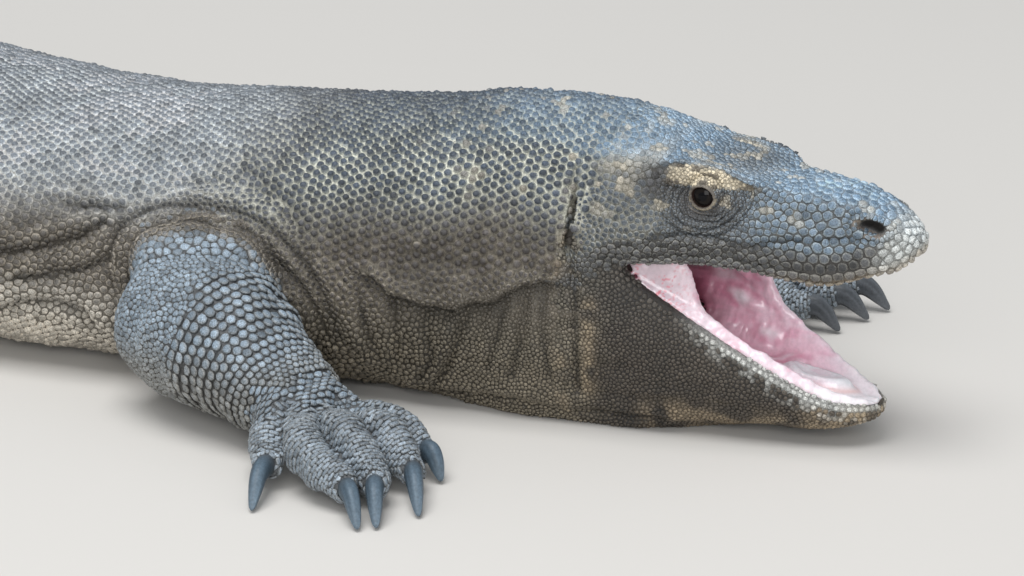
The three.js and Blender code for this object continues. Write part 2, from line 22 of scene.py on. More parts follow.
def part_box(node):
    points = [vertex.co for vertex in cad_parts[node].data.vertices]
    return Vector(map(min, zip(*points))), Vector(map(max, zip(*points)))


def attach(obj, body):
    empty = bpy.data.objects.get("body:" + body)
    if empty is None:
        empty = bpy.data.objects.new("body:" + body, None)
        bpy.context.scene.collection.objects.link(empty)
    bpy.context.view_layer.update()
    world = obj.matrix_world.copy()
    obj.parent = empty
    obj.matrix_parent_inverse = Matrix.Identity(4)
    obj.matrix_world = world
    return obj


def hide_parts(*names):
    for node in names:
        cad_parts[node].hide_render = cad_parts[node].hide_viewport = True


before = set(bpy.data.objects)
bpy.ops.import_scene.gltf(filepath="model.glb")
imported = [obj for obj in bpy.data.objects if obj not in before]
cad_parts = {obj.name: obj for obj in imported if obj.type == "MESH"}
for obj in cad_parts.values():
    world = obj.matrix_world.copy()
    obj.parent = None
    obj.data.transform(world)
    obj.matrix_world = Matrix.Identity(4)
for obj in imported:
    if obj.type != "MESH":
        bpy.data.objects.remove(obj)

Array = np.ndarray
Colour = tuple[float, float, float]
log = logging.getLogger("komodo")

EYE_CENTRE = (-46.0, 29.5, 141.0)
EYE_RADIUS = 9.0
_eye_low, _eye_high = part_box("eye_r")
SHIFT = np.array((_eye_low + _eye_high) / 2) - np.array((EYE_CENTRE[0], -EYE_CENTRE[1], EYE_CENTRE[2])) / 1000


# ---- Small tools ----
def to_frame(points: Array) -> Array:
    """Turn points in the animal's millimetres into the frame's metres."""
    return points / 1000 + SHIFT


def from_frame(points: Array) -> Array:
    """Turn points in the frame's metres into the animal's millimetres."""
    return (points - SHIFT) * 1000


def unit(vectors: Array) -> Array:
    """Scale vectors to a length of one."""
    return vectors / np.maximum(np.linalg.norm(vectors, axis=-1, keepdims=True), 1e-9)


def smoothstep(low: float, high: float, x: Array) -> Array:
    """Rise smoothly from 0 at low to 1 at high."""
    t = np.clip((x - low) / (high - low), 0, 1)
    return t * t * (3 - 2 * t)


def bell(x: Array, width: float) -> Array:
    """A bell curve of height one around zero."""
    return np.exp(-((x / width) ** 2))


def mixed(a: Array, b: Array | Colour, share: Array) -> Array:
    """Blend rows of a towards b by a share for each row."""
    return a + (np.asarray(b) - a) * share[:, None]


def mirrored(points: Array) -> Array:
    """Bring places on the right over to the left."""
    return np.column_stack([points[:, 0], np.abs(points[:, 1]), points[:, 2]])


def travelled(line: Array) -> Array:
    """Measure along a line of points."""
    return np.concatenate([[0], np.cumsum(np.linalg.norm(np.diff(line, axis=0), axis=1))])


def read_along(where: Array, travel: Array, line: Array) -> Array:
    """Give the places at distances along a measured line."""
    return np.stack([np.interp(where, travel, line[:, k]) for k in range(line.shape[1])], -1)


def full_turn(count: int) -> Array:
    """Give evenly spaced angles round a circle."""
    return np.linspace(0, 2 * np.pi, count, endpoint=False)


def spanned(knots: tuple[Array, ...], roots: tuple[Array, ...], t: Array) -> Array:
    """Give the smooth curve between the middle two of four knots, from the roots of the gaps between them."""
    (a, b, c, d), (before, here, after) = knots, roots
    leave = ((b - a) / before - (c - a) / (before + here) + (c - b) / here) * here
    meet = ((c - b) / here - (d - b) / (here + after) + (d - c) / after) * here
    return b + t * leave + t * t * (3 * (c - b) - 2 * leave - meet) + t**3 * (2 * (b - c) + leave + meet)


def speckle(points: Array, size: float, seed: int = 0) -> Array:
    """Smooth noise from -1 to 1.

    Args:
        points: places in millimetres.
        size: the noise's grain in millimetres.
        seed: which noise to read.

    Returns:
        One value for each place.
    """
    place = points / size + seed * 17.317
    cell = np.floor(place).astype(np.int64)
    part = place - cell
    part = part * part * (3 - 2 * part)
    total = np.zeros(len(points))
    for corner in product((0, 1), repeat=3):
        near = cell + corner
        code = (near[:, 0] * 73856093) ^ (near[:, 1] * 19349663) ^ (near[:, 2] * 83492791) ^ (seed * 2654435)
        code = ((code ^ (code >> 13)) * 1274126177) & 0xFFFFFFFF
        code = ((code ^ (code >> 16)) * 2246822519) & 0xFFFFFFFF
        weight = np.prod(np.where(corner, part, 1 - part), axis=1)
        total += weight * (code / 0xFFFFFFFF)
    return total * 2 - 1


class Guide:
    """A smooth function through (at, value) knots, with no overshoot between them."""

    def __init__(self, *knots: tuple[float, float]) -> None:
        """Keep the knots and work out the slope at each."""
        self.at, self.value = np.array(knots, float).T
        slope = np.diff(self.value) / np.diff(self.at)
        self.tangent = np.concatenate([slope[:1], np.zeros(len(slope) - 1), slope[-1:]])
        both = slope[:-1] * slope[1:]
        total = np.where(both > 0, slope[:-1] + slope[1:], 1)
        self.tangent[1:-1] = np.where(both > 0, 2 * both / total, 0)

    def __call__(self, x: Array | float) -> Array:
        """Read the function at x."""
        x = np.clip(np.asarray(x, float), self.at[0], self.at[-1])
        i = np.clip(np.searchsorted(self.at, x, "right") - 1, 0, len(self.at) - 2)
        width = self.at[i + 1] - self.at[i]
        t = (x - self.at[i]) / width
        bend0, bend1 = self.tangent[i] * width, self.tangent[i + 1] * width
        rise = self.value[i + 1] - self.value[i]
        return self.value[i] + t * bend0 + t * t * (3 * rise - 2 * bend0 - bend1) + t**3 * (bend0 + bend1 - 2 * rise)


class Route:
    """A smooth curve through points, read by share of its length."""

    def __init__(self, points: list[tuple[float, float, float]]) -> None:
        """Sample the curve finely and measure along it."""
        p = np.array(points, float)
        p = np.vstack([2 * p[0] - p[1], p, 2 * p[-1] - p[-2]])
        pieces = []
        t = np.linspace(0, 1, 80, endpoint=False)[:, None]
        for a, b, c, d in zip(p, p[1:], p[2:], p[3:]):
            roots = tuple(np.linalg.norm(v) ** 0.5 for v in (b - a, c - b, d - c))
            pieces.append(spanned((a, b, c, d), roots, t))
        self.line = np.vstack([*pieces, p[-2:-1]])
        self.travel = travelled(self.line)
        self.length = float(self.travel[-1])
        self.heading = unit(np.gradient(self.line, self.travel, axis=0))

    def _read(self, rows: Array, share: Array | float) -> Array:
        """Read rows kept along the curve at shares of its length."""
        return read_along(np.asarray(share, float) * self.length, self.travel, rows)

    def at(self, share: Array | float) -> Array:
        """Give the places at shares of the length."""
        return self._read(self.line, share)

    def ahead(self, share: Array | float) -> Array:
        """Give the directions of travel at shares of the length."""
        return unit(self._read(self.heading, share))


def closed_curve(rings: Array, per: int) -> Array:
    """Round off closed rings of points.

    Args:
        rings: an array of rings, points and coordinates.
        per: how many points each gap becomes.

    Returns:
        The finer rings, through the same points.
    """
    a, b, c, d = (np.roll(rings, shift, axis=1) for shift in (1, 0, -1, -2))
    gaps = (np.linalg.norm(v, axis=2, keepdims=True) for v in (b - a, c - b, d - c))
    roots = tuple((np.maximum(gap, 1e-3) ** 0.5)[:, :, None] for gap in gaps)
    t = np.linspace(0, 1, per, endpoint=False)[None, None, :, None]
    fine = spanned(tuple(v[:, :, None] for v in (a, b, c, d)), roots, t)
    return fine.reshape(len(rings), -1, rings.shape[2])


# ---- Named choices ----
class Side(Enum):
    """The side of the animal, as the sign of Y."""

    RIGHT = -1
    LEFT = 1


class Part(Enum):
    """What a stretch of the skin belongs to."""

    BODY = 0
    HEAD = 1
    JAW = 2
    INSIDE = 3
    ARM_R = 10
    ARM_L = 20
    LEG_R = 30
    LEG_L = 40


class Length(Enum):
    """The lengths of a limb, added to the limb's own number."""

    UPPER = 0
    LOWER = 1
    PALM = 2
    DIGITS = 3


LIMB_STEP = Part.ARM_R.value  # Labels from here on are a limb's number and a length's.


# ---- Sizes shared with the solids ----
class Trunk:
    """The tube of neck, trunk and tail along the backbone, against distance behind the chin."""

    route = Route([(100, 0, 0), (-125, 0, 0), (-400, 0, 0), (-680, 12, 0), (-960, 2, 0), (-1110, -20, 0),
                   (-1350, -95, 0), (-1600, -190, 0), (-1870, -240, 0), (-2130, -205, 0), (-2330, -90, 0)])
    route_start = 100.0
    # Distance, half width, height of the back, height of the widest level, share of the half width on the floor.
    rows = ((115, 60, 174, 84, 0.8), (150, 67, 173, 82, 0.78), (190, 76, 167.5, 78, 0.62),
            (230, 84, 160.5, 74, 0.45), (270, 92, 154.5, 69, 0.42), (335, 104, 146.5, 62, 0.45),
            (400, 115, 138, 58, 0.5), (470, 124, 133.5, 56, 0.52), (545, 133, 134, 57, 0.55),
            (660, 146, 140, 60, 0.58), (780, 149, 143, 61, 0.58), (890, 133, 139, 59, 0.52),
            (970, 106, 132, 56, 0.45), (1050, 76, 123, 53, 0.42), (1150, 57, 110, 50, 0.42),
            (1300, 44, 92, 43, 0.42), (1500, 33, 71, 33, 0.42), (1700, 25, 54, 25, 0.42),
            (1900, 18, 40, 19, 0.42), (2100, 12.5, 29, 14, 0.42), (2300, 8, 18, 9, 0.45), (2450, 4.5, 10, 5, 0.5))
    distances, halves, backs, widests, flats = zip(*rows)
    half_width, back_height = Guide(*zip(distances, halves)), Guide(*zip(distances, backs))
    widest_height, flat_share = Guide(*zip(distances, widests)), Guide(*zip(distances, flats))
    back_roundness, belly_roundness = 2.2, 2.6
    end = route.length - route_start

    @classmethod
    def place(cls, distance: Array, turn: Array, grow: float = 0) -> Array:
        """Give places on the tube, at a turn round it from its left side over the back."""
        half = cls.half_width(distance) + grow
        widest = cls.widest_height(distance)
        rise = cls.back_height(distance) - widest + grow
        spread = cls.flat_share(distance) ** cls.belly_roundness
        drop = widest * (1 - spread) ** (-1 / cls.belly_roundness) + grow
        up = np.sin(turn) > 0
        power = 2 / np.where(up, cls.back_roundness, cls.belly_roundness)
        across = np.sign(np.cos(turn)) * np.abs(np.cos(turn)) ** power * half
        height = widest + np.sign(np.sin(turn)) * np.abs(np.sin(turn)) ** power * np.where(up, rise, drop)
        centre, _, left = cls.axes(distance)
        place = centre + left * across[..., None]
        place[..., 2] = height
        return place

    @classmethod
    def axes(cls, distance: Array) -> tuple[Array, Array, Array]:
        """Give the middle, the forward direction and the left direction at distances behind the chin."""
        share = (np.asarray(distance, float) + cls.route_start) / cls.route.length
        ahead = -cls.route.ahead(share)
        left = np.stack([-ahead[..., 1], ahead[..., 0], np.zeros_like(ahead[..., 0])], -1)
        return cls.route.at(share), ahead, left


class Skull:
    """The upper head and the lower jaw, against distance in front of the chin."""

    crown = Guide((-115, 175), (-90, 173), (-70, 166), (-50, 157), (-30, 152), (-8, 148.5), (12, 148), (30, 146),
                  (45, 143), (56, 138), (64, 132.5), (69, 127), (71, 123))
    brow_width = Guide((-115, 37), (-85, 36), (-64, 33), (-45, 31), (-18, 27), (-6, 22), (10, 19.5), (30, 18),
                       (45, 16), (56, 13), (64, 9.5), (69, 5.5), (71, 1.5))
    brow_height = Guide((-115, 157), (-85, 158), (-66, 157.5), (-45, 157.5), (-22, 153), (-8, 147.5), (10, 145.5),
                        (30, 143.5), (45, 139.5), (56, 135), (64, 130), (69, 126), (71, 122.5))
    cheek_width = Guide((-115, 59.5), (-92, 57), (-70, 52), (-45, 44), (-16, 37.5), (10, 33.5), (30, 30.5),
                        (45, 27), (56, 22.5), (64, 16.5), (69, 9.5), (71, 2.5))
    cheek_height = Guide((-115, 96), (-92, 114), (-45, 119), (10, 118), (45, 119.5), (64, 121), (71, 121))
    lip_width = Guide((-115, 59), (-92, 50), (-70, 46), (-45, 40.5), (-16, 35), (10, 31.5), (30, 28.5),
                      (45, 25), (56, 20.5), (64, 14.5), (69, 8), (71, 2))
    lip_height = Guide((-115, 84), (-100, 93), (-92, 98.5), (-75, 101.5), (-50, 103), (-22, 102), (5, 99),
                       (20, 98.5), (35, 101), (50, 106), (60, 109), (67, 113.5), (71, 118))
    palate_rise = Guide((-115, 0.5), (-104, 1), (-92, 9), (-40, 10), (30, 8), (56, 4), (66, 1.5), (71, 0.5))
    rim_width = Guide((-115, 57), (-92, 50), (-50, 42.5), (-16, 35.5), (5, 31), (22, 26), (34, 20.5), (42, 14.5),
                      (47, 8.5), (50, 2.5))
    rim_height = Guide((-115, 112), (-92, 104), (-84, 92), (-75, 86), (-50, 70), (-16, 49), (5, 37.5), (22, 29.5),
                       (34, 26.5), (50, 25))
    side_width = Guide((-115, 60), (-92, 57), (-75, 54), (-50, 48), (-16, 39.5), (5, 33.5), (22, 27.5), (34, 22),
                       (42, 16), (47, 10), (50, 3.5))
    side_height = Guide((-115, 84), (-92, 72), (-75, 61), (-50, 49), (-16, 34), (5, 27), (22, 22), (34, 20),
                        (50, 20))
    keel_height = Guide((-115, -30), (-91, -26), (-70, -12), (-50, -3.5), (-30, 1), (-10, 4.5), (14, 6), (26, 8),
                        (36, 10.5), (44, 13.5), (50, 18))
    trough_height = Guide((-110, 96), (-106, 84), (-100, 62), (-92, 52), (-70, 40), (-40, 30), (-16, 24), (10, 18),
                          (30, 17.5), (40, 20), (46, 22.5), (50, 23.5))
    pad_height = Guide((-104, 72), (-97, 60), (-88, 54), (-70, 47), (-40, 38), (-16, 32), (5, 29), (20, 27.5),
                       (36, 25.5), (47, 24))
    wall = 5.0

    @classmethod
    def upper_half(cls, x: float, inset: float) -> Array:
        """Give the upper head's outline on one side, from the crown down and under to the palate."""
        crown = (0.0, cls.crown(x) - inset)
        brow = (cls.brow_width(x) - inset * 0.7, cls.brow_height(x) - inset * 0.7)
        cheek = (cls.cheek_width(x) - inset, cls.cheek_height(x))
        lip = (cls.lip_width(x) - inset, cls.lip_height(x))
        round_ = cls.brow_width(x)
        rim = min(4.5, lip[0] * 0.3)
        between = lambda a, b, share, bulge: (a[0] + (b[0] - a[0]) * share + bulge, a[1] + (b[1] - a[1]) * share)
        return np.array([
            crown,
            (brow[0] * 0.4, crown[1] + (brow[1] - crown[1]) * 0.12),
            (brow[0] * 0.75, crown[1] + (brow[1] - crown[1]) * 0.55),
            brow,
            between(brow, cheek, 0.33, round_ * 0.05),
            between(brow, cheek, 0.68, round_ * 0.05),
            cheek,
            between(cheek, lip, 0.5, round_ * 0.04),
            lip,
            (lip[0] - rim, lip[1] - 0.2),
            (lip[0] - rim * 1.9, lip[1] + cls.palate_rise(x) * 0.75),
            (0.0, lip[1] + cls.palate_rise(x)),
        ], float)

    @classmethod
    def trough_wall(cls, x: float) -> list[tuple[float, float]]:
        """Give the inner side of the jaw's wall, from the bottom of the trough up to the rim."""
        wall = min(cls.wall, cls.rim_width(x) * 0.35)
        width = cls.rim_width(x) - wall
        rim = cls.rim_height(x)
        trough = min(cls.trough_height(x), rim - 1)
        return [(width * 0.55, trough + 0.3), (width * 0.88, trough + (rim - trough) * 0.3), (width, rim - 0.6)]

    @classmethod
    def lower_half(cls, x: float, inset: float) -> Array:
        """Give the lower jaw's outline on one side, from the trough over the rim and down to the keel."""
        rim = (cls.rim_width(x) - inset, cls.rim_height(x) - inset * 0.5)
        side = (cls.side_width(x) - inset, cls.side_height(x))
        keel = cls.keel_height(x) + inset
        wall = cls.trough_wall(x)
        return np.array([
            (0.0, wall[0][1] - 0.3),
            *wall,
            rim,
            side,
            (side[0] * 0.94, side[1] * 0.6 + keel * 0.4),
            (side[0] * 0.78, side[1] * 0.28 + keel * 0.72),
            (side[0] * 0.48, side[1] * 0.07 + keel * 0.93),
            (0.0, keel),
        ], float)

    @classmethod
    def palate_half(cls, x: float) -> Array:
        """Give the outline on one side of the roof of the mouth."""
        lip = (cls.lip_width(x), cls.lip_height(x))
        rim = min(4.5, lip[0] * 0.3)
        top = lip[1] + cls.palate_rise(x) + 0.5
        inside = lip[0] - rim * 1.9 + 0.4
        return np.array([
            (0.0, top),
            (inside, lip[1] + cls.palate_rise(x) * 0.75 + 0.6),
            (inside * 1.02, lip[1] + 0.4),
            (inside * 0.84, lip[1] - 0.4),
            (inside * 0.62, top - 2.8),
            (0.0, top - 3.4),
        ], float)


def across_head(stations: Array, half_at: Callable[[float], Array], per: int = 4) -> Array:
    """Make smooth rings across the head from outlines of one side."""
    rings = []
    for x in stations:
        half = half_at(float(x))
        ring = np.vstack([half * (-1, 1), half[-2:0:-1]])
        rings.append(np.column_stack([np.full(len(ring), x), ring]))
    return closed_curve(np.array(rings), per)


@dataclass(frozen=True)
class Tube:
    """A round length of a limb: its path, and its half width and half height along it."""

    path: Route
    wide: Guide
    high: Guide

    def frames(self, share: Array | float) -> tuple[Array, Array, Array, Array]:
        """Give the middle, forward, sideways and upward directions at shares of the length."""
        ahead = self.path.ahead(share)
        across = unit(np.cross((0, 0, 1), ahead))
        return self.path.at(share), ahead, across, np.cross(ahead, across)

    def rings(self, shares: int | Array, sides: int, grow: float = 0) -> Array:
        """Give rings of places round the tube, at shares of its length or at a count of even steps."""
        share = np.linspace(0, 1, shares + 1) if isinstance(shares, int) else shares
        centre, _, across, upward = (v[:, None, :] for v in self.frames(share))
        turn = full_turn(sides)[None, :, None]
        wide, high = self.wide(share)[:, None, None] + grow, self.high(share)[:, None, None] + grow
        return centre + across * wide * np.cos(turn) + upward * high * np.sin(turn)


@dataclass(frozen=True)
class LimbPlan:
    """Where a limb's joints lie, with Y measured away from the middle.

    A digit has its root, its raised knuckle, its end and the tip of its claw.
    """

    part: Part
    side: Side
    suffix: str
    is_arm: bool
    upper: tuple
    lower: tuple
    palm: tuple
    digits: tuple
    cuff: float = 0.16

    def placed(self, points: tuple) -> list[tuple[float, float, float]]:
        """Put points on the limb's own side."""
        return [(x, y * self.side.value, z) for x, y, z in points]

    def claw_path(self, digit: tuple) -> Route:
        """Give the path of a digit's claw, from inside the digit's end to the tip."""
        root, knuckle, end, tip = (np.array(p, float) for p in self.placed(digit))
        ahead = Route([tuple(root), tuple(knuckle), tuple(end)]).ahead(1.0)
        arch = end + (tip - end) * 0.52 + (0, 0, 7.5)
        return Route([tuple(end - ahead * 3.5), tuple(end + ahead * 1.5), tuple(arch), tuple(tip)])

    def cuffed(self, digit: tuple) -> Tube:
        """Give a digit's length with the cuff of skin that it reaches out over its claw."""
        claw = self.claw_path(digit)
        over = [tuple(claw.at(share)) for share in (self.cuff * 0.65, self.cuff)]
        girth = Guide((0, 13), (0.7, 11), (1, 7))
        return Tube(Route(self.placed(digit[:3]) + over), girth, girth)

    def cuffs(self, digit: tuple, sides: int) -> Array:
        """Give the rings of skin that narrow round the root of a claw."""
        claw = Tube(self.claw_path(digit), Guide((0.13, 8.2), (0.4, 6.6)), Guide((0.13, 8.2), (0.4, 7.6)))
        return claw.rings(np.linspace(0.13, max(self.cuff, 0.15), 6), sides)

    def tubes(self) -> dict[Length, list[Tube]]:
        """Give the limb's round lengths."""
        if self.is_arm:
            upper = (Guide((0, 42), (0.45, 45), (0.8, 42), (0.93, 33), (1, 20)),
                     Guide((0, 34), (0.45, 42), (0.8, 42), (0.93, 34), (1, 20)))
            lower = (Guide((0, 30), (0.12, 41), (0.35, 45), (0.6, 40), (0.85, 32), (1, 29)),
                     Guide((0, 28), (0.12, 39), (0.35, 43), (0.6, 38), (0.85, 28), (1, 22)))
            digit = Guide((0, 13), (0.4, 12.5), (0.8, 11.5), (1, 9))
        else:
            upper = (Guide((0, 62), (0.4, 60), (0.75, 48), (0.92, 36), (1, 20)),
                     Guide((0, 56), (0.4, 54), (0.75, 46), (0.92, 35), (1, 20)))
            lower = (Guide((0, 26), (0.12, 38), (0.3, 43), (0.6, 36), (0.85, 28), (1, 29)),
                     Guide((0, 26), (0.12, 36), (0.3, 40), (0.6, 32), (0.85, 24), (1, 20)))
            digit = Guide((0, 13.5), (0.4, 12.5), (0.8, 11.5), (1, 9))
        palm = (Guide((0, 22), (0.2, 27), (0.6, 33), (1, 27)), Guide((0, 17), (0.2, 21), (0.6, 19), (1, 12)))
        return {
            Length.UPPER: [Tube(Route(self.placed(self.upper)), *upper)],
            Length.LOWER: [Tube(Route(self.placed(self.lower)), *lower)],
            Length.PALM: [Tube(Route(self.placed(self.palm)), *palm)],
            Length.DIGITS: [Tube(Route(self.placed(d[:3])), digit, digit) for d in self.digits],
        }


LIMBS = (
    LimbPlan(Part.ARM_R, Side.RIGHT, "arm_r", True,
             ((-306, 60, 74), (-332, 92, 62), (-354, 112, 50)),
             ((-352, 107, 50), (-306, 124, 48), (-236, 153, 28)),
             ((-248, 150, 28), (-226, 162, 25), (-200, 175, 20)),
             (((-206, 150, 22), (-180, 149, 22), (-160, 152, 14), (-143, 162, 2)),
              ((-202, 158, 23), (-174, 168, 25), (-154, 178, 14), (-132, 211, 2)),
              ((-208, 168, 24), (-186, 186, 27), (-163, 204, 14), (-145, 235, 2)),
              ((-221, 170, 24), (-208, 200, 25), (-174, 217, 14), (-153, 241, 2)),
              ((-232, 168, 22), (-235, 184, 22), (-227, 204, 14), (-216, 243, 2))), 0.22),
    LimbPlan(Part.ARM_L, Side.LEFT, "arm_l", True,
             ((-250, 46, 80), (-282, 88, 70), (-312, 132, 56)),
             ((-302, 118, 52), (-262, 134, 47), (-160, 150, 27)),
             ((-172, 148, 29), (-146, 152, 26), (-118, 158, 20)),
             (((-128, 140, 22), (-104, 128, 22), (-84, 120, 15), (-58, 112, 2)),
              ((-122, 150, 24), (-92, 147, 25), (-66, 145, 15), (-37, 149, 2)),
              ((-120, 158, 25), (-88, 163, 27), (-60, 168, 15), (-29, 175, 2)),
              ((-124, 166, 24), (-90, 180, 26), (-56, 190, 15), (-24, 196, 2)),
              ((-138, 170, 22), (-122, 190, 22), (-104, 206, 15), (-78, 222, 2))), 0.42),
    LimbPlan(Part.LEG_R, Side.RIGHT, "leg_r", False,
             ((-960, 55, 78), (-915, 122, 76), (-868, 192, 68)),
             ((-880, 176, 62), (-915, 208, 54), (-992, 240, 28)),
             ((-994, 238, 28), (-966, 252, 24), (-932, 262, 19)),
             (((-944, 242, 20), (-918, 236, 21), (-898, 232, 14), (-871, 231, 2)),
              ((-936, 254, 23), (-896, 256, 24), (-864, 259, 14), (-836, 264, 2)),
              ((-936, 263, 24), (-890, 274, 26), (-850, 284, 14), (-822, 294, 2)),
              ((-940, 270, 23), (-894, 291, 26), (-852, 312, 14), (-825, 328, 2)),
              ((-962, 268, 21), (-940, 294, 22), (-922, 314, 14), (-900, 332, 2)))),
    LimbPlan(Part.LEG_L, Side.LEFT, "leg_l", False,
             ((-960, 60, 78), (-926, 130, 76), (-888, 200, 68)),
             ((-898, 186, 62), (-938, 216, 54), (-1020, 240, 28)),
             ((-1022, 238, 28), (-996, 256, 24), (-966, 272, 19)),
             (((-974, 252, 20), (-949, 252, 21), (-928, 252, 14), (-901, 254, 2)),
              ((-970, 264, 23), (-931, 274, 24), (-900, 284, 14), (-873, 294, 2)),
              ((-971, 273, 24), (-929, 292, 26), (-892, 309, 14), (-866, 324, 2)),
              ((-977, 279, 23), (-937, 306, 26), (-900, 333, 14), (-876, 353, 2)),
              ((-998, 274, 21), (-981, 300, 22), (-966, 322, 14), (-947, 342, 2)))),
)


# ---- Finishes ----
@dataclass(frozen=True)
class Palette:
    """The colours of a scale's top, of its rim and of the gap beyond."""

    crest: Colour
    rim: Colour
    gap: Colour


BACK_HIDE = Palette((0.14, 0.16, 0.185), (0.76, 0.80, 0.81), (0.36, 0.36, 0.34))
SIDE_HIDE = Palette((0.085, 0.076, 0.066), (0.34, 0.305, 0.25), (0.048, 0.041, 0.032))
BELLY_HIDE = Palette((0.40, 0.39, 0.36), (0.72, 0.70, 0.65), (0.07, 0.065, 0.055))
NAPE_HIDE = Palette((0.040, 0.055, 0.080), (0.42, 0.44, 0.41), (0.46, 0.46, 0.39))
NECK_HIDE = Palette((0.070, 0.062, 0.058), (0.28, 0.25, 0.20), (0.13, 0.115, 0.09))
THROAT_HIDE = Palette((0.13, 0.118, 0.098), (0.24, 0.22, 0.17), (0.022, 0.019, 0.016))
ARM_HIDE = Palette((0.20, 0.25, 0.30), (0.23, 0.245, 0.25), (0.040, 0.042, 0.045))
DIGIT_HIDE = Palette((0.24, 0.285, 0.33), (0.25, 0.265, 0.27), (0.075, 0.08, 0.085))
PAW_HIDE = Palette((0.22, 0.22, 0.21), (0.25, 0.24, 0.21), (0.024, 0.022, 0.020))
HEAD_HIDE = Palette((0.095, 0.112, 0.13), (0.29, 0.31, 0.315), (0.030, 0.028, 0.026))
CHEEK_HIDE = Palette((0.060, 0.070, 0.080), (0.34, 0.345, 0.32), (0.15, 0.145, 0.12))
# The top of the head: the hide's own grey with a painted reflection of the blue sky, paler and bluer.
CROWN_HIDE_AND_SKY_SHEEN = Palette((0.14, 0.215, 0.30), (0.45, 0.58, 0.69), (0.13, 0.155, 0.185))
SNOUT_HIDE = Palette((0.11, 0.15, 0.195), (0.36, 0.42, 0.45), (0.028, 0.027, 0.026))
LIP_HIDE = Palette((0.085, 0.087, 0.09), (0.27, 0.265, 0.24), (0.022, 0.019, 0.018))
JAW_HIDE = Palette((0.052, 0.046, 0.041), (0.120, 0.106, 0.087), (0.012, 0.010, 0.009))
TAIL_HIDE = Palette((0.20, 0.20, 0.19), (0.46, 0.43, 0.37), (0.035, 0.03, 0.026))
CREAM: Colour = (0.60, 0.52, 0.38)
TAN: Colour = (0.42, 0.33, 0.22)
UMBER: Colour = (0.035, 0.028, 0.024)
PALE: Colour = (0.62, 0.63, 0.60)


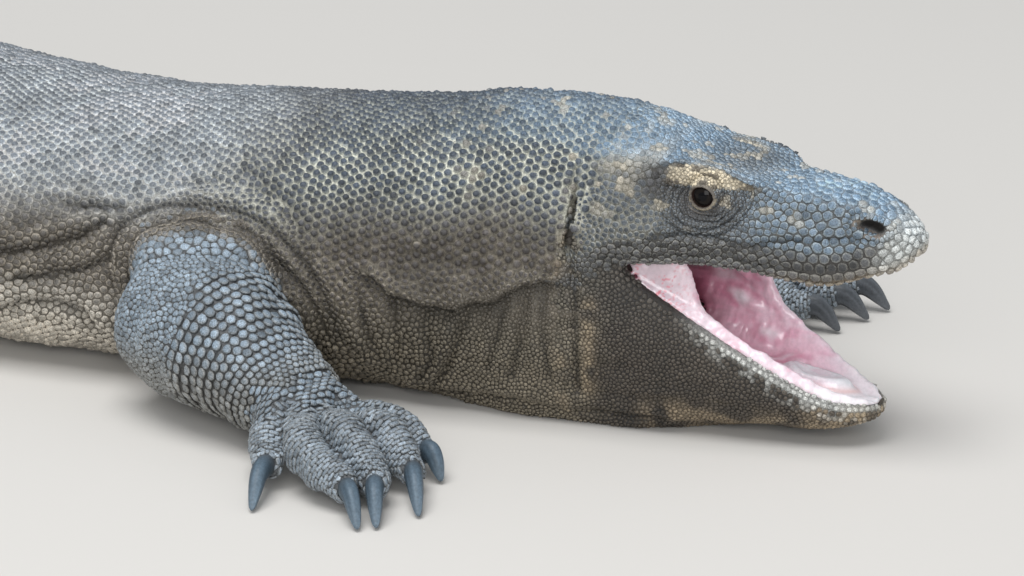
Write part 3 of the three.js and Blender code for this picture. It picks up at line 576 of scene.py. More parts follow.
class Markings:
    """The colours of the hide at any place, shared by the skin and the scales."""

    @staticmethod
    def at(points: Array, labels: Array) -> tuple[Array, Array, Array]:
        """Give the crest, rim and gap colours.

        Args:
            points: places in millimetres.
            labels: the part of each place.

        Returns:
            Three arrays of colours.
        """
        x, y, z = points.T
        away, behind = np.abs(y), -x
        share = np.clip(z / Trunk.back_height(behind), 0, 1.2) + 0.05 * speckle(points, 35, 2)
        head, jaw, body = (labels == part.value for part in (Part.HEAD, Part.JAW, Part.BODY))
        limb, length = labels >= LIMB_STEP, labels % LIMB_STEP
        neck = smoothstep(360, 250, behind)
        top, low = smoothstep(0.62, 0.86, share), smoothstep(0.50, 0.25, share)
        above_lip = z - Skull.lip_height(x)
        crown = smoothstep(-6, 2, z - np.where(head, Skull.brow_height(x), Trunk.back_height(behind) - 12))
        steps = (
            (BACK_HIDE, body * top), (BELLY_HIDE, body * low),
            (TAIL_HIDE, body * smoothstep(980, 1100, behind)),
            (NECK_HIDE, body * neck), (THROAT_HIDE, body * neck * low),
            (NAPE_HIDE, body * neck * smoothstep(0.58, 0.80, share)),
            (ARM_HIDE, limb * 1.0),
            (PAW_HIDE, limb * (length < Length.PALM.value) * smoothstep(62, 30, z + 6 * speckle(points, 14, 3)) * 0.85),
            (DIGIT_HIDE, limb * (length == Length.DIGITS.value)),
            (SIDE_HIDE, limb * smoothstep(15, 6, FOLDS[SHOULDER_ARC].reach(points))),
            (HEAD_HIDE, head * 1.0),
            (CHEEK_HIDE, head * smoothstep(-55, -75, x) * smoothstep(150, 128, z)),
            (SNOUT_HIDE, head * smoothstep(-30, -5, x)),
            # Painted sky reflection on the upward-facing top of the head and the nape.
            (CROWN_HIDE_AND_SKY_SHEEN, (head + 0.4 * body) * crown * smoothstep(240, 120, behind)),
            (LIP_HIDE, head * smoothstep(19, 14, above_lip) * smoothstep(66, 50, x)),
            (NAPE_HIDE, head * smoothstep(-70, -135, x) * smoothstep(118, 145, z) * 0.7),
            (THROAT_HIDE, jaw * 1.0), (JAW_HIDE, jaw * smoothstep(128, 84, behind + 10 * speckle(points, 9, 4))),
        )
        found = []
        for name in ("crest", "rim", "gap"):
            tint = np.tile(np.array(getattr(SIDE_HIDE, name), float), (len(points), 1))
            for palette, weight in steps:
                tint = mixed(tint, getattr(palette, name), weight)
            found.append(tint)
        crest, rim, gap = found
        # Weathering: broad light and dark drifts, and a browner cast low down that is painted warm light thrown up from
        # the floor.
        drift = 1 + 0.22 * speckle(points, 42, 5) + 0.20 * speckle(points, 13, 6)
        painted_floor_warmth = smoothstep(0.6, 0.15, share) * (body | jaw)
        for tint in (crest, rim, gap):
            tint *= drift[:, None] * (1 - painted_floor_warmth[:, None] * np.array((0.04, 0.10, 0.18)))
        # The face: a cream lid, a dark patch behind the eye, tan along the lips, snout tip and chin.
        dx, dz = x - EYE_CENTRE[0], z - EYE_CENTRE[2]
        under_brow = smoothstep(1.0, -1.5, dz - Face.brow(dx) + 2.0)
        lid = head * under_brow * smoothstep(3.6, 5.6, dz - np.abs(dx) * 0.02) * smoothstep(-24, -19, dx)
        lid = lid * smoothstep(36, 29, dx) * (away > 20)
        blotch = speckle(points * (0.5, 1, 1.3), 2.6, 9) + 0.3 * speckle(points, 9, 10) - 0.004 * dx
        blotch = smoothstep(-0.06, 0.14, blotch)
        lids = head * smoothstep(15, 11, np.hypot(dx, dz)) * smoothstep(5, 1, dz) * (away > 20)
        pouch = head * smoothstep(27, 18, np.hypot(dx - 2, dz)) * smoothstep(4, -3, dz) * (away > 20)
        dusk = head * smoothstep(12, 5, np.hypot((dx + 23) / 1.3, dz - 5)) * smoothstep(-0.7, 0, blotch - 0.3)
        tip = head * smoothstep(46, 62, x + 0.25 * (120 - z))
        lip = head * smoothstep(4.5, 1, above_lip) * smoothstep(-20, 25, x)
        mould = (head | body) * smoothstep(0.42, 0.66, speckle(points, 6.0, 17)) * smoothstep(250, 140, behind)
        mould = mould * smoothstep(115, 140, z)
        stripe = head * bell(dz - 15 - 0.25 * (dx + 40), 5) * smoothstep(-20, -28, dx) * smoothstep(-70, -50, dx)
        chin = jaw * smoothstep(4, 28, x) * smoothstep(30, 20, z) * smoothstep(0.7, -0.1, speckle(points, 8, 13))
        edge = Skull.rim_height(x) - z
        spots = smoothstep(14, 4, edge) * (speckle(points, 3, 18) > 0.1) * 0.7
        lower_lip = jaw * smoothstep(-62, -30, x) * np.maximum(smoothstep(5.5, 3.0, edge), spots)
        worn = jaw * smoothstep(28, 14, z) * smoothstep(-85, -65, x) * smoothstep(-0.35, 0.3, speckle(points, 11, 16))
        patch = (jaw | body) * bell(behind - 107 + 0.04 * z, 4.0) * smoothstep(84, 74, z)
        patch = patch * smoothstep(14, 26, z) * (away > 40)
        slit = (jaw | body | head) * bell(behind - 121, 4.5) * smoothstep(150, 128, z) * (away > 40)
        for colour, weight, strength in (
            (CREAM, lid, 0.95), (UMBER, lid * blotch, 0.85), (UMBER, lids, 0.55), (UMBER, pouch, 0.25),
            (UMBER, dusk, 0.7), (CREAM, stripe, 0.4), (PALE, tip, 0.8), (TAN, lip, 0.55), (TAN, chin, 0.8),
            (PALE, lower_lip, 0.85), (TAN, patch * smoothstep(-0.8, 0.0, speckle(points, 5, 15)), 0.5),
            (TAN, worn, 0.5),
            (TAN, slit * smoothstep(-0.4, 0.3, speckle(points, 8, 19)), 0.3), (CREAM, mould, 0.45),
        ):
            crest = mixed(crest, colour, weight * strength)
            rim = mixed(rim, colour, weight * strength * 0.85)
            gap = mixed(gap, colour, weight * strength * 0.45)
        return tuple(np.clip(tint, 0.01, 0.8) for tint in (crest, rim, gap))


def set_inputs(node: bpy.types.Node, **values: float | tuple) -> None:
    """Set a node's inputs. An underscore in a key stands for a space in the input's name."""
    for key, value in values.items():
        node.inputs[key.replace("_", " ")].default_value = value


@dataclass(frozen=True)
class TintedFinish:
    """A finish that takes its colour from the piece's own tint, with fine mottling and relief."""

    name: str
    roughness: float
    mottle: float = 0.18
    mottle_grain: float = 1400.0
    relief: float = 0.25
    relief_grain: float = 2400.0
    relief_depth: float = 0.0004
    coat: float = 0.0
    specular: float = 0.5
    subsurface: float = 0.0

    def material(self) -> bpy.types.Material:
        """Make the material."""
        found = bpy.data.materials.get(self.name)
        if found:
            return found
        made = bpy.data.materials.new(self.name)
        made.use_nodes = True
        nodes, links = made.node_tree.nodes, made.node_tree.links
        shader = nodes["Principled BSDF"]
        set_inputs(shader, Roughness=self.roughness, Specular_IOR_Level=self.specular, Coat_Weight=self.coat,
                   Coat_Roughness=0.12)
        if self.subsurface:
            set_inputs(shader, Subsurface_Weight=self.subsurface, Subsurface_Radius=(0.003, 0.002, 0.002))
        tint = nodes.new("ShaderNodeAttribute")
        tint.attribute_name = "Tint"
        place = nodes.new("ShaderNodeTexCoord")
        grain = nodes.new("ShaderNodeTexNoise")
        set_inputs(grain, Scale=self.mottle_grain, Detail=3)
        level = nodes.new("ShaderNodeMapRange")
        set_inputs(level, From_Min=0.3, From_Max=0.7, To_Min=1 - self.mottle, To_Max=1 + self.mottle)
        shade = nodes.new("ShaderNodeVectorMath")
        shade.operation = "SCALE"
        fine = nodes.new("ShaderNodeTexNoise")
        set_inputs(fine, Scale=self.relief_grain, Detail=2)
        bump = nodes.new("ShaderNodeBump")
        set_inputs(bump, Strength=self.relief, Distance=self.relief_depth)
        for source, target in (
            (place.outputs["Object"], grain.inputs["Vector"]),
            (grain.outputs["Fac"], level.inputs["Value"]),
            (tint.outputs["Color"], shade.inputs[0]),
            (level.outputs["Result"], shade.inputs["Scale"]),
            (shade.outputs["Vector"], shader.inputs["Base Color"]),
            (place.outputs["Object"], fine.inputs["Vector"]),
            (fine.outputs["Fac"], bump.inputs["Height"]),
            (bump.outputs["Normal"], shader.inputs["Normal"]),
        ):
            links.new(source, target)
        return made


SKIN_FINISH = TintedFinish("hide_skin", 0.6, mottle=0.5, mottle_grain=900, relief=0.8, relief_grain=1100)
SCALE_FINISH = TintedFinish("hide_scales", 0.42, mottle=0.55, mottle_grain=1300, relief=0.9, relief_grain=1300,
                            relief_depth=0.0006)
HORN_FINISH = TintedFinish("ridged_horn", 0.46, mottle_grain=700, relief=0.5, relief_grain=900, specular=0.35)
EYE_FINISH = TintedFinish("eye_gloss", 0.03, mottle=0.08, mottle_grain=2600, relief=0.0, specular=0.12)
MOUTH_FINISH = TintedFinish("wet_lining", 0.3, mottle=0.07, mottle_grain=500, relief=0.35, relief_grain=900,
                            coat=0.7, subsurface=0.12)


# ---- Making pieces ----
def mesh_piece(name: str, points: Array, sizes: Array, corners: Array, tint: Array | None = None,
               unwrap: Array | None = None) -> bpy.types.Object:
    """Make an object from arrays.

    Args:
        name: the piece's name.
        points: places in millimetres.
        sizes: how many corners each face has.
        corners: the faces' corners one after another, as rows of points.
        tint: a colour for each point.
        unwrap: a place on the unwrapped skin for each point.

    Returns:
        The new object, in the scene.
    """
    mesh = bpy.data.meshes.new(name)
    mesh.vertices.add(len(points))
    mesh.vertices.foreach_set("co", to_frame(points).astype(np.float32).ravel())
    mesh.loops.add(len(corners))
    mesh.loops.foreach_set("vertex_index", corners.astype(np.int32))
    mesh.polygons.add(len(sizes))
    mesh.polygons.foreach_set("loop_start", np.concatenate([[0], np.cumsum(sizes)[:-1]]).astype(np.int32))
    mesh.polygons.foreach_set("use_smooth", np.ones(len(sizes), bool))
    mesh.update(calc_edges=True)
    if tint is not None:
        paint(mesh, tint)
    if unwrap is not None:
        layer = mesh.uv_layers.new(name="OFBake")
        layer.data.foreach_set("uv", unwrap[corners].astype(np.float32).ravel())
    piece = bpy.data.objects.new(name, mesh)
    bpy.context.scene.collection.objects.link(piece)
    return piece


def paint(mesh: bpy.types.Mesh, tint: Array) -> None:
    """Keep a colour for each point of a mesh."""
    layer = mesh.color_attributes.get("Tint") or mesh.color_attributes.new("Tint", "FLOAT_COLOR", "POINT")
    rgba = np.column_stack([tint, np.ones(len(tint))])
    layer.data.foreach_set("color", rgba.astype(np.float32).ravel())


def dressed(piece: bpy.types.Object, finish: TintedFinish, nodes: list[str]) -> bpy.types.Object:
    """Give a finished piece its material and body, and hide the model's nodes that it stands for."""
    piece.data.materials.clear()
    piece.data.materials.append(finish.material())
    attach(piece, "root")
    if nodes:
        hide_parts(*nodes)
    log.info("%s: %d faces", piece.name, len(piece.data.polygons))
    return piece


def smoothed(piece: bpy.types.Object) -> None:
    """Shade all the faces of a piece smooth."""
    piece.data.polygons.foreach_set("use_smooth", np.ones(len(piece.data.polygons), bool))


def only(piece: bpy.types.Object) -> None:
    """Select one piece and make it active."""
    bpy.ops.object.select_all(action="DESELECT")
    piece.select_set(True)
    bpy.context.view_layer.objects.active = piece


def modified(piece: bpy.types.Object, kind: str, **settings: object) -> None:
    """Add a modifier to a piece and apply it."""
    only(piece)
    modifier = piece.modifiers.new(kind.lower(), kind)
    for key, value in settings.items():
        setattr(modifier, key, value)
    bpy.ops.object.modifier_apply(modifier=modifier.name)


def lofted(rings: Array) -> tuple[Array, Array, Array]:
    """Make a closed surface through rings of points.

    Returns:
        The points, the faces' sizes and the faces' corners.
    """
    count, around = rings.shape[:2]
    start = np.arange(count - 1)[:, None] * around
    k = np.arange(around)[None, :]
    after = (k + 1) % around
    quads = np.stack([start + k, start + after, start + after + around, start + k + around], -1).reshape(-1, 4)
    last = (count - 1) * around
    corners = np.concatenate([quads.ravel(), np.arange(around)[::-1], np.arange(around) + last])
    sizes = np.concatenate([np.full(len(quads), 4), [around, around]])
    return rings.reshape(-1, 3), sizes, corners


def corner_lists(sizes: Array, corners: Array) -> list[list[int]]:
    """Turn a flat run of corners into a list for each face."""
    ends = np.cumsum(sizes)
    return [corners[end - size:end].tolist() for size, end in zip(sizes, ends)]


def joined(pieces: list[tuple[Array, Array, Array]]) -> tuple[Array, Array, Array]:
    """Put several surfaces into one run of points, sizes and corners."""
    offsets = np.cumsum([0] + [len(points) for points, _, _ in pieces[:-1]])
    return (
        np.vstack([points for points, _, _ in pieces]),
        np.concatenate([sizes for _, sizes, _ in pieces]),
        np.concatenate([corners + offset for (_, _, corners), offset in zip(pieces, offsets)]),
    )


def searcher(points: Array) -> KDTree:
    """Make a tree for finding the nearest of many points."""
    tree = KDTree(len(points))
    for i, place in enumerate(points.tolist()):
        tree.insert(place, i)
    tree.balance()
    return tree


@dataclass
class Sheet:
    """A triangle surface as arrays, for sculpting."""

    points: Array
    faces: Array

    @classmethod
    def of(cls, piece: bpy.types.Object) -> "Sheet":
        """Read an object's mesh as triangles, in millimetres."""
        mesh = piece.data
        points = np.empty(len(mesh.vertices) * 3)
        mesh.vertices.foreach_get("co", points)
        mesh.calc_loop_triangles()
        faces = np.empty(len(mesh.loop_triangles) * 3, np.int32)
        mesh.loop_triangles.foreach_get("vertices", faces)
        return cls(from_frame(points.reshape(-1, 3)), faces.reshape(-1, 3))

    def write(self, piece: bpy.types.Object) -> None:
        """Put the points back into an object's mesh."""
        piece.data.vertices.foreach_set("co", to_frame(self.points).ravel())
        piece.data.update()

    def normals(self) -> Array:
        """Give the outward direction at each point."""
        a, b, c = (self.points[self.faces[:, k]] for k in range(3))
        across = np.cross(b - a, c - a)
        total = np.stack([
            np.bincount(self.faces.ravel(), np.repeat(across[:, k], 3), len(self.points)) for k in range(3)], -1)
        return unit(total)

    def smooth(self, rounds: int, weight: Array | float, relax: float = 0.0) -> None:
        """Draw points towards their neighbours' mean, and back by relax times as much."""
        pairs = np.vstack([self.faces[:, (0, 1)], self.faces[:, (1, 2)], self.faces[:, (2, 0)]])
        source = np.concatenate([pairs[:, 0], pairs[:, 1]])
        target = np.concatenate([pairs[:, 1], pairs[:, 0]])
        order = np.argsort(source, kind="stable")
        source, target = source[order], target[order]
        starts = np.flatnonzero(np.diff(source, prepend=-1))
        count = np.diff(np.append(starts, len(source)))[:, None]
        weight = np.broadcast_to(np.asarray(weight, float).reshape(-1, 1), (len(self.points), 1))
        held = source[starts]
        for _ in range(rounds):
            for strength in (1.0, -relax) if relax else (1.0,):
                mean = np.add.reduceat(self.points[target], starts, axis=0) / count
                self.points[held] += (mean - self.points[held]) * weight[held] * strength


@dataclass(frozen=True)
class Fold:
    """A crease in the skin along a path, mirrored on the other side of the animal."""

    path: tuple[tuple[float, float, float], ...]
    depth: float
    width: float
    lift: float = 0.0
    over: tuple[float, float] = (0.0, 0.0)

    def reach(self, points: Array) -> Array:
        """Give each point's distance from the path, where it is near."""
        return self.offsets(points)[0]

    def offsets(self, points: Array) -> tuple[Array, Array]:
        """Give each point's distance from the path, and how far it lies on the overhanging side."""
        path = np.array(self.path, float)
        room = 30 + self.width
        flat = mirrored(points)
        near = np.all((flat > path.min(0) - room) & (flat < path.max(0) + room), axis=1)
        flat, nearest, sides = flat[near], np.full(len(points), 1e3), np.zeros(len(points))
        best, beyond = np.full(len(flat), 1e3), np.zeros(len(flat))
        line = Route([tuple(p) for p in path]).line[::16]
        for a, b in zip(line, line[1:]):
            along = b - a
            t = np.clip(((flat - a) @ along) / (along @ along), 0, 1)
            offset = flat - a - t[:, None] * along
            away = np.linalg.norm(offset, axis=1)
            closer = away < best
            best = np.where(closer, away, best)
            beyond = np.where(closer, offset[:, 0] * self.over[0] + offset[:, 2] * self.over[1], beyond)
        nearest[near], sides[near] = best, beyond
        return nearest, sides

    def push(self, points: Array) -> Array:
        """Give how far each point moves out along its normal."""
        away, beyond = self.offsets(points)
        hang = math.hypot(*self.over) * np.tanh(beyond / 1.5) * np.exp(-away / (2.4 * self.width))
        return hang - self.depth * bell(away, self.width) + self.lift * bell(away - 2.1 * self.width, 1.2 * self.width)


@dataclass(frozen=True)
class Drape:
    """A hanging edge of loose skin on both sides of the neck: full above the edge and undercut below it."""

    edge: Guide
    start: float
    end: float
    bulge: float
    cut: float

    def window(self, points: Array) -> Array:
        """Give how far each place belongs to the neck's side between the edge's ends."""
        x = points[:, 0]
        window = smoothstep(self.start - 8, self.start + 8, x) * smoothstep(self.end + 8, self.end - 8, x)
        return window * (np.abs(points[:, 1]) > 35)

    def push(self, points: Array) -> Array:
        """Give how far each point moves out along its normal."""
        window = self.window(points)
        over = points[:, 2] - self.edge(points[:, 0])
        over = over + 1.6 * speckle(points * (1, 0, 0.3), 4.5, 26)
        turn = smoothstep(-1.5, 1.5, over)
        above = self.bulge * np.exp(-np.maximum(over, 0) / 9) * (1 + 0.45 * speckle(points * (1, 0, 0.5), 6.0, 27))
        below = self.cut * np.exp(np.minimum(over, 0) / 6.5)
        return window * (above * turn - below * (1 - turn))

    def shade(self, points: Array) -> Array:
        """Give how light each place is: a painted shadow just under the hanging edge."""
        over = points[:, 2] - self.edge(points[:, 0])
        return 1 - 0.6 * self.window(points) * np.exp(-np.abs(over + 3.5) / 4.5)


FOLDS = (
    # The upright crease between the jaw's muscle and the neck.
    Fold(((-118, 44, 150), (-117, 50, 139), (-117, 56, 120), (-115, 59, 100), (-112, 59, 78), (-112, 57, 48),
          (-112, 53, 22)), 4.2, 1.9, 1.2, (0.8, 0.0)),
    # The throat's lower edge, hanging over the floor.
    Fold(((-207, 62, 12), (-191, 58, 9), (-151, 58, 10), (-122, 54, 9), (-93, 46, 8), (-68, 41, 8)),
         4.6, 3.0, 1.2, (0.0, 2.0)),
    # Slanting folds from the neck's pouch down to the throat.
    Fold(((-171, 72, 68), (-178, 72, 52), (-184, 70, 35), (-197, 64, 17)), 3.4, 2.4, 1.6, (-2.8, 0.0)),
    Fold(((-199, 77, 62), (-197, 75, 49), (-196, 71, 32), (-206, 67, 18)), 2.6, 2.4, 1.2, (-1.8, 0.0)),
    Fold(((-152, 66, 74), (-156, 66, 54), (-163, 63, 32)), 2.2, 2.2, 1.2, (-1.2, 0.0)),
    Fold(((-140, 64, 74), (-143, 64, 50), (-150, 62, 28)), 2.4, 2.4, 1.3),
    Fold(((-236, 82, 74), (-232, 82, 50), (-228, 78, 28)), 3.0, 2.8, 1.4, (-2.0, 0.0)),
    Fold(((-216, 79, 68), (-214, 79, 48), (-216, 74, 26)), 2.6, 2.6, 1.4),
    Fold(((-128, 62, 96), (-130, 62, 78), (-130, 61, 52), (-128, 58, 30)), 2.0, 2.4, 1.0),
    # Loose skin in front of, over and behind the shoulder.
    Fold(((-450, 116, 38), (-430, 115, 45), (-401, 112, 45), (-391, 108, 32)), 3.6, 3.2, 1.6, (0.0, 2.6)),
    Fold(((-450, 116, 73), (-424, 113, 79), (-401, 107, 88), (-388, 102, 96)), 3.0, 3.6, 1.8, (0.0, 2.2)),
    Fold(((-462, 116, 100), (-430, 104, 105), (-405, 100, 102), (-380, 98, 104)), 2.2, 3.6, 1.4, (0.0, 1.6)),
    Fold(((-440, 116, 58), (-415, 114, 64), (-396, 111, 70), (-384, 110, 76)), 2.6, 2.8, 1.4, (0.0, 2.0)),
    Fold(((-262, 92, 92), (-272, 88, 108), (-290, 80, 122), (-315, 70, 130)), 1.6, 5.0, 1.0),
    Fold(((-369, 109, 64), (-364, 106, 82), (-346, 105, 97), (-333, 98, 102), (-316, 96, 104), (-299, 92, 99),
          (-283, 92, 88), (-267, 92, 74), (-257, 88, 52), (-252, 85, 40)), 3.4, 2.6, 1.4, (0.6, 2.4)),
    Fold(((-381, 109, 78), (-376, 102, 95), (-357, 93, 106), (-323, 88, 110), (-290, 88, 104), (-264, 90, 84),
          (-252, 88, 61), (-246, 84, 41)), 2.4, 3.0, 1.6, (0.6, 1.2)),
    # The groove above the lip, the fold under the eye and the one at the corner of the mouth.
    Fold(((39, 26, 126), (21, 30, 124), (1, 33, 122), (-19, 38, 117), (-34, 41, 120), (-48, 44, 122),
          (-73, 52, 118)), 2.2, 1.3, 0.7, (0.0, 0.8)),
    Fold(((-26, 40, 115), (-47, 45, 114), (-67, 51, 115), (-88, 56, 114)), 2.0, 1.2, 0.7, (0.0, 0.6)),
    Fold(((-60, 50, 122), (-76, 54, 122), (-94, 57, 119)), 1.5, 1.2, 0.6),
    Fold(((-98, 57, 105), (-68, 49, 108), (-45, 43, 110), (-25, 39, 110), (-13, 36, 107), (0, 34, 107),
          (19, 32, 108), (40, 28, 111)), 2.0, 1.1, 0.6, (0.0, 0.7)),
    # Raised forms: the ridge of the snout and the jaw's muscle.
    Fold(((-4, 22, 147), (20, 20, 144.5), (40, 18, 141)), -0.8, 3.0),
    Fold(((-92, 57, 122), (-72, 52, 118)), -1.6, 17.0),
)
SHOULDER_ARC = next(i for i, fold in enumerate(FOLDS) if fold.path[0] == (-369, 109, 64))
DRAPES = (
    Drape(Guide((-236, 84), (-224, 80), (-216, 73), (-204, 71), (-193, 67), (-181, 67), (-171, 72), (-162, 72),
                (-152, 79), (-144, 83), (-129, 88)), -234, -124, 7.0, 5.0),
)


@dataclass
class Skin:
    """The one skin over all the flesh."""

    inset: float = 1.2
    voxel: float = 0.0020
    most_triangles: int = 138000
    piece: bpy.types.Object | None = None
    sheet: Sheet | None = None
    outward: Array | None = None
    labels: Array | None = None
    tree: BVHTree | None = None
    marks: KDTree | None = None
    mark_labels: Array | None = None

    def components(self) -> list[tuple[Array, Array]]:
        """Give the closed lofts that the flesh is joined from, each with its points' labels."""
        distances = np.concatenate([np.arange(110, 1100, 6), np.arange(1100, Trunk.end, 9), [Trunk.end - 0.5]])
        trunk = Trunk.place(*np.broadcast_arrays(distances[:, None], full_turn(88)[None, :]), -self.inset)
        shapes = [(trunk, np.full(trunk.shape[:2], Part.BODY.value))]
        upper = across_head(np.concatenate([np.arange(-122, 54, 2.5), np.arange(54, 70.2, 0.9)]),
                            lambda x: Skull.upper_half(x, 0.8))
        lower = across_head(np.concatenate([np.arange(-120, 38, 2.5), np.arange(38, 49.2, 0.9)]),
                            lambda x: Skull.lower_half(x, 0.8))
        upper_place, lower_place = np.arange(upper.shape[1]) / 4, np.arange(lower.shape[1]) / 4
        roof = np.abs(upper_place - 11) < 2.5
        trough = np.minimum(lower_place, 18 - lower_place) < 3.5
        shapes.append((upper, np.tile(np.where(roof, Part.INSIDE.value, Part.HEAD.value), (len(upper), 1))))
        shapes.append((lower, np.tile(np.where(trough, Part.INSIDE.value, Part.JAW.value), (len(lower), 1))))
        for limb in LIMBS:
            for length, tubes in limb.tubes().items():
                for i, tube in enumerate(tubes):
                    count, sides = (24, 24) if length is Length.DIGITS else (40, 44)
                    rings = tube.rings(count, sides, -0.8 if length is Length.DIGITS else -1.0)
                    if length is Length.DIGITS:
                        rings = np.concatenate([rings, limb.cuffs(limb.digits[i], sides)])
                    shapes.append((rings, np.full(rings.shape[:2], limb.part.value + length.value)))
        return shapes

    def label(self, points: Array) -> Array:
        """Give the part that each point belongs to."""
        return self.mark_labels[[self.marks.find(p)[1] for p in points.tolist()]]

    def build(self) -> None:
        """Join, sculpt and thin the skin, and keep it ready for searches."""
        shapes = self.components()
        surfaces = [lofted(rings) for rings, _ in shapes]
        self.piece = mesh_piece("skin", *joined(surfaces))
        modified(self.piece, "REMESH", mode="VOXEL", voxel_size=self.voxel)
        self.sheet = Sheet.of(self.piece)
        marks = np.vstack([rings.reshape(-1, 3) for rings, _ in shapes])
        self.mark_labels = np.concatenate([labels.ravel() for _, labels in shapes])
        self.marks = searcher(marks)
        log.info("joined: %d points", len(self.sheet.points))
        self.soften(shapes, surfaces)
        self.sculpt()
        self.thin()
        self.face()
        self.keep()

    def soften(self, shapes: list[tuple[Array, Array]], surfaces: list[tuple[Array, Array, Array]]) -> None:
        """Round the skin where two forms meet, and measure where creases will run along the roots of the limbs and
        between the digits.
        """
        sheet = self.sheet
        points = sheet.points.copy()

        def tree_of(wanted: Callable[[int], bool]) -> BVHTree:
            chosen = [s for s, (_, labels) in zip(surfaces, shapes) if wanted(int(labels.flat[0]))]
            places, sizes, corners = joined(chosen)
            return BVHTree.FromPolygons(places.tolist(), corner_lists(sizes, corners))

        def away(tree: BVHTree, places: Array) -> Array:
            return np.array([tree.find_nearest(p)[3] for p in places.tolist()])

        body = tree_of(lambda label: label < LIMB_STEP)
        blend = np.zeros(len(points))
        self.crease = np.full(len(points), 1e3)
        self.second = np.full(len(points), 1e3)
        self.cleft = np.zeros(len(points))
        fine = np.zeros(len(points))
        for limb in LIMBS:
            tubes, value = limb.tubes(), limb.part.value
            whole = np.vstack([tube.rings(12, 12).reshape(-1, 3) for tube in tubes[Length.UPPER] + tubes[Length.LOWER]])
            near = np.flatnonzero(np.all((points > whole.min(0) - 30) & (points < whole.max(0) + 30), axis=1))
            to_body = away(body, points[near])
            to_limb = away(tree_of(lambda label: label in (value, value + 1)), points[near])
            blend[near] = np.maximum(blend[near], bell(np.maximum(to_body, to_limb), 13))
            apart = np.abs(to_body - to_limb) + np.minimum(to_body, to_limb) * 0.5
            self.crease[near] = np.minimum(self.crease[near], apart)
            outer = np.where(to_body < to_limb, to_limb, 1e3)
            self.second[near] = np.minimum(self.second[near], np.abs(outer - 15))
            ends = np.vstack([tube.rings(8, 8).reshape(-1, 3) for tube in tubes[Length.DIGITS]])
            close = np.flatnonzero(np.all((points > ends.min(0) - 10) & (points < ends.max(0) + 10), axis=1))
            lines = [tube.path.line[::10] for tube in tubes[Length.DIGITS]]
            gaps = np.stack([np.linalg.norm(points[close, None] - line, axis=2).min(1) for line in lines], 1)
            gaps = np.sort(gaps, axis=1)
            self.cleft[close] = bell(gaps[:, 1] - gaps[:, 0], 3.4) * smoothstep(24, 17, gaps[:, 0])
            fine[close] = 0.3
        neck = np.abs(points[:, 0] + 117) < 9
        blend[neck] = np.maximum(blend[neck], 0.8 * bell(points[neck, 0] + 117, 6))
        inside = self.label(points[neck]) == Part.INSIDE.value
        blend[np.flatnonzero(neck)[inside]] = 0
        sheet.smooth(8, 0.5, 1.04)
        sheet.smooth(4, fine)
        sheet.smooth(60, blend)

    def sculpt(self) -> None:
        """Press the folds and wrinkles into the skin."""
        points = self.sheet.points
        outward = self.sheet.normals()
        x, away, z = points[:, 0], np.abs(points[:, 1]), points[:, 2]
        body = x < -112
        push = -4.2 * bell(self.crease, 3.4) + 1.3 * bell(self.crease - 8.5, 4.5)
        push -= 1.6 * bell(self.second, 3.0) + 5.5 * self.cleft
        for fold in FOLDS + DRAPES:
            push += fold.push(points)
        # Slack skin: upright wrinkles on the neck and shoulder, level ones under the jaw and throat.
        loose = smoothstep(-500, -380, x) * smoothstep(-112, -150, x) * smoothstep(0.85, 0.5, z / Trunk.back_height(-x))
        push += 1.9 * loose * speckle(points * (1.0, 0.35, 0.28), 8.5, 21)
        under = smoothstep(-250, -215, x) * smoothstep(30, 0, x) * smoothstep(86, 60, z + 0.45 * (x + 112))
        push += 1.3 * under * speckle(points * (0.16, 0.4, 1.0), 4.2, 24)
        side = smoothstep(-420, -470, x) * smoothstep(-1000, -900, x) * smoothstep(90, 50, z)
        push += 1.6 * side * speckle(points * (0.35, 0.4, 1.0), 12, 25)
        push += 1.0 * body * speckle(points, 32, 22) * smoothstep(1040, 900, -x)
        push += 0.3 * speckle(points, 6, 23) * body
        push[self.label(points) == Part.INSIDE.value] = 0
        self.sheet.points = points + outward * push[:, None]
        self.sheet.smooth(2, 0.35)
        self.sheet.points[:, 2] = np.maximum(self.sheet.points[:, 2], 0.7)
        self.sheet.write(self.piece)

    def thin(self) -> None:
        """Thin the skin's triangles behind the head, then refine them round the eyes, nostrils and ears."""
        points, count = self.sheet.points, len(self.sheet.faces)
        group = self.piece.vertex_groups.new(name="loose")
        face = points[:, 0] > -125
        group.add(np.flatnonzero(~face).tolist(), 1.0, "REPLACE")
        group.add(np.flatnonzero(face).tolist(), 0.0, "REPLACE")
        modified(self.piece, "DECIMATE", ratio=min(1.0, self.most_triangles / count), vertex_group="loose",
                 vertex_group_factor=1.0)
        self.piece.vertex_groups.clear()
        self.refine()
        self.sheet = Sheet.of(self.piece)
        log.info("thinned: %d triangles", len(self.sheet.faces))

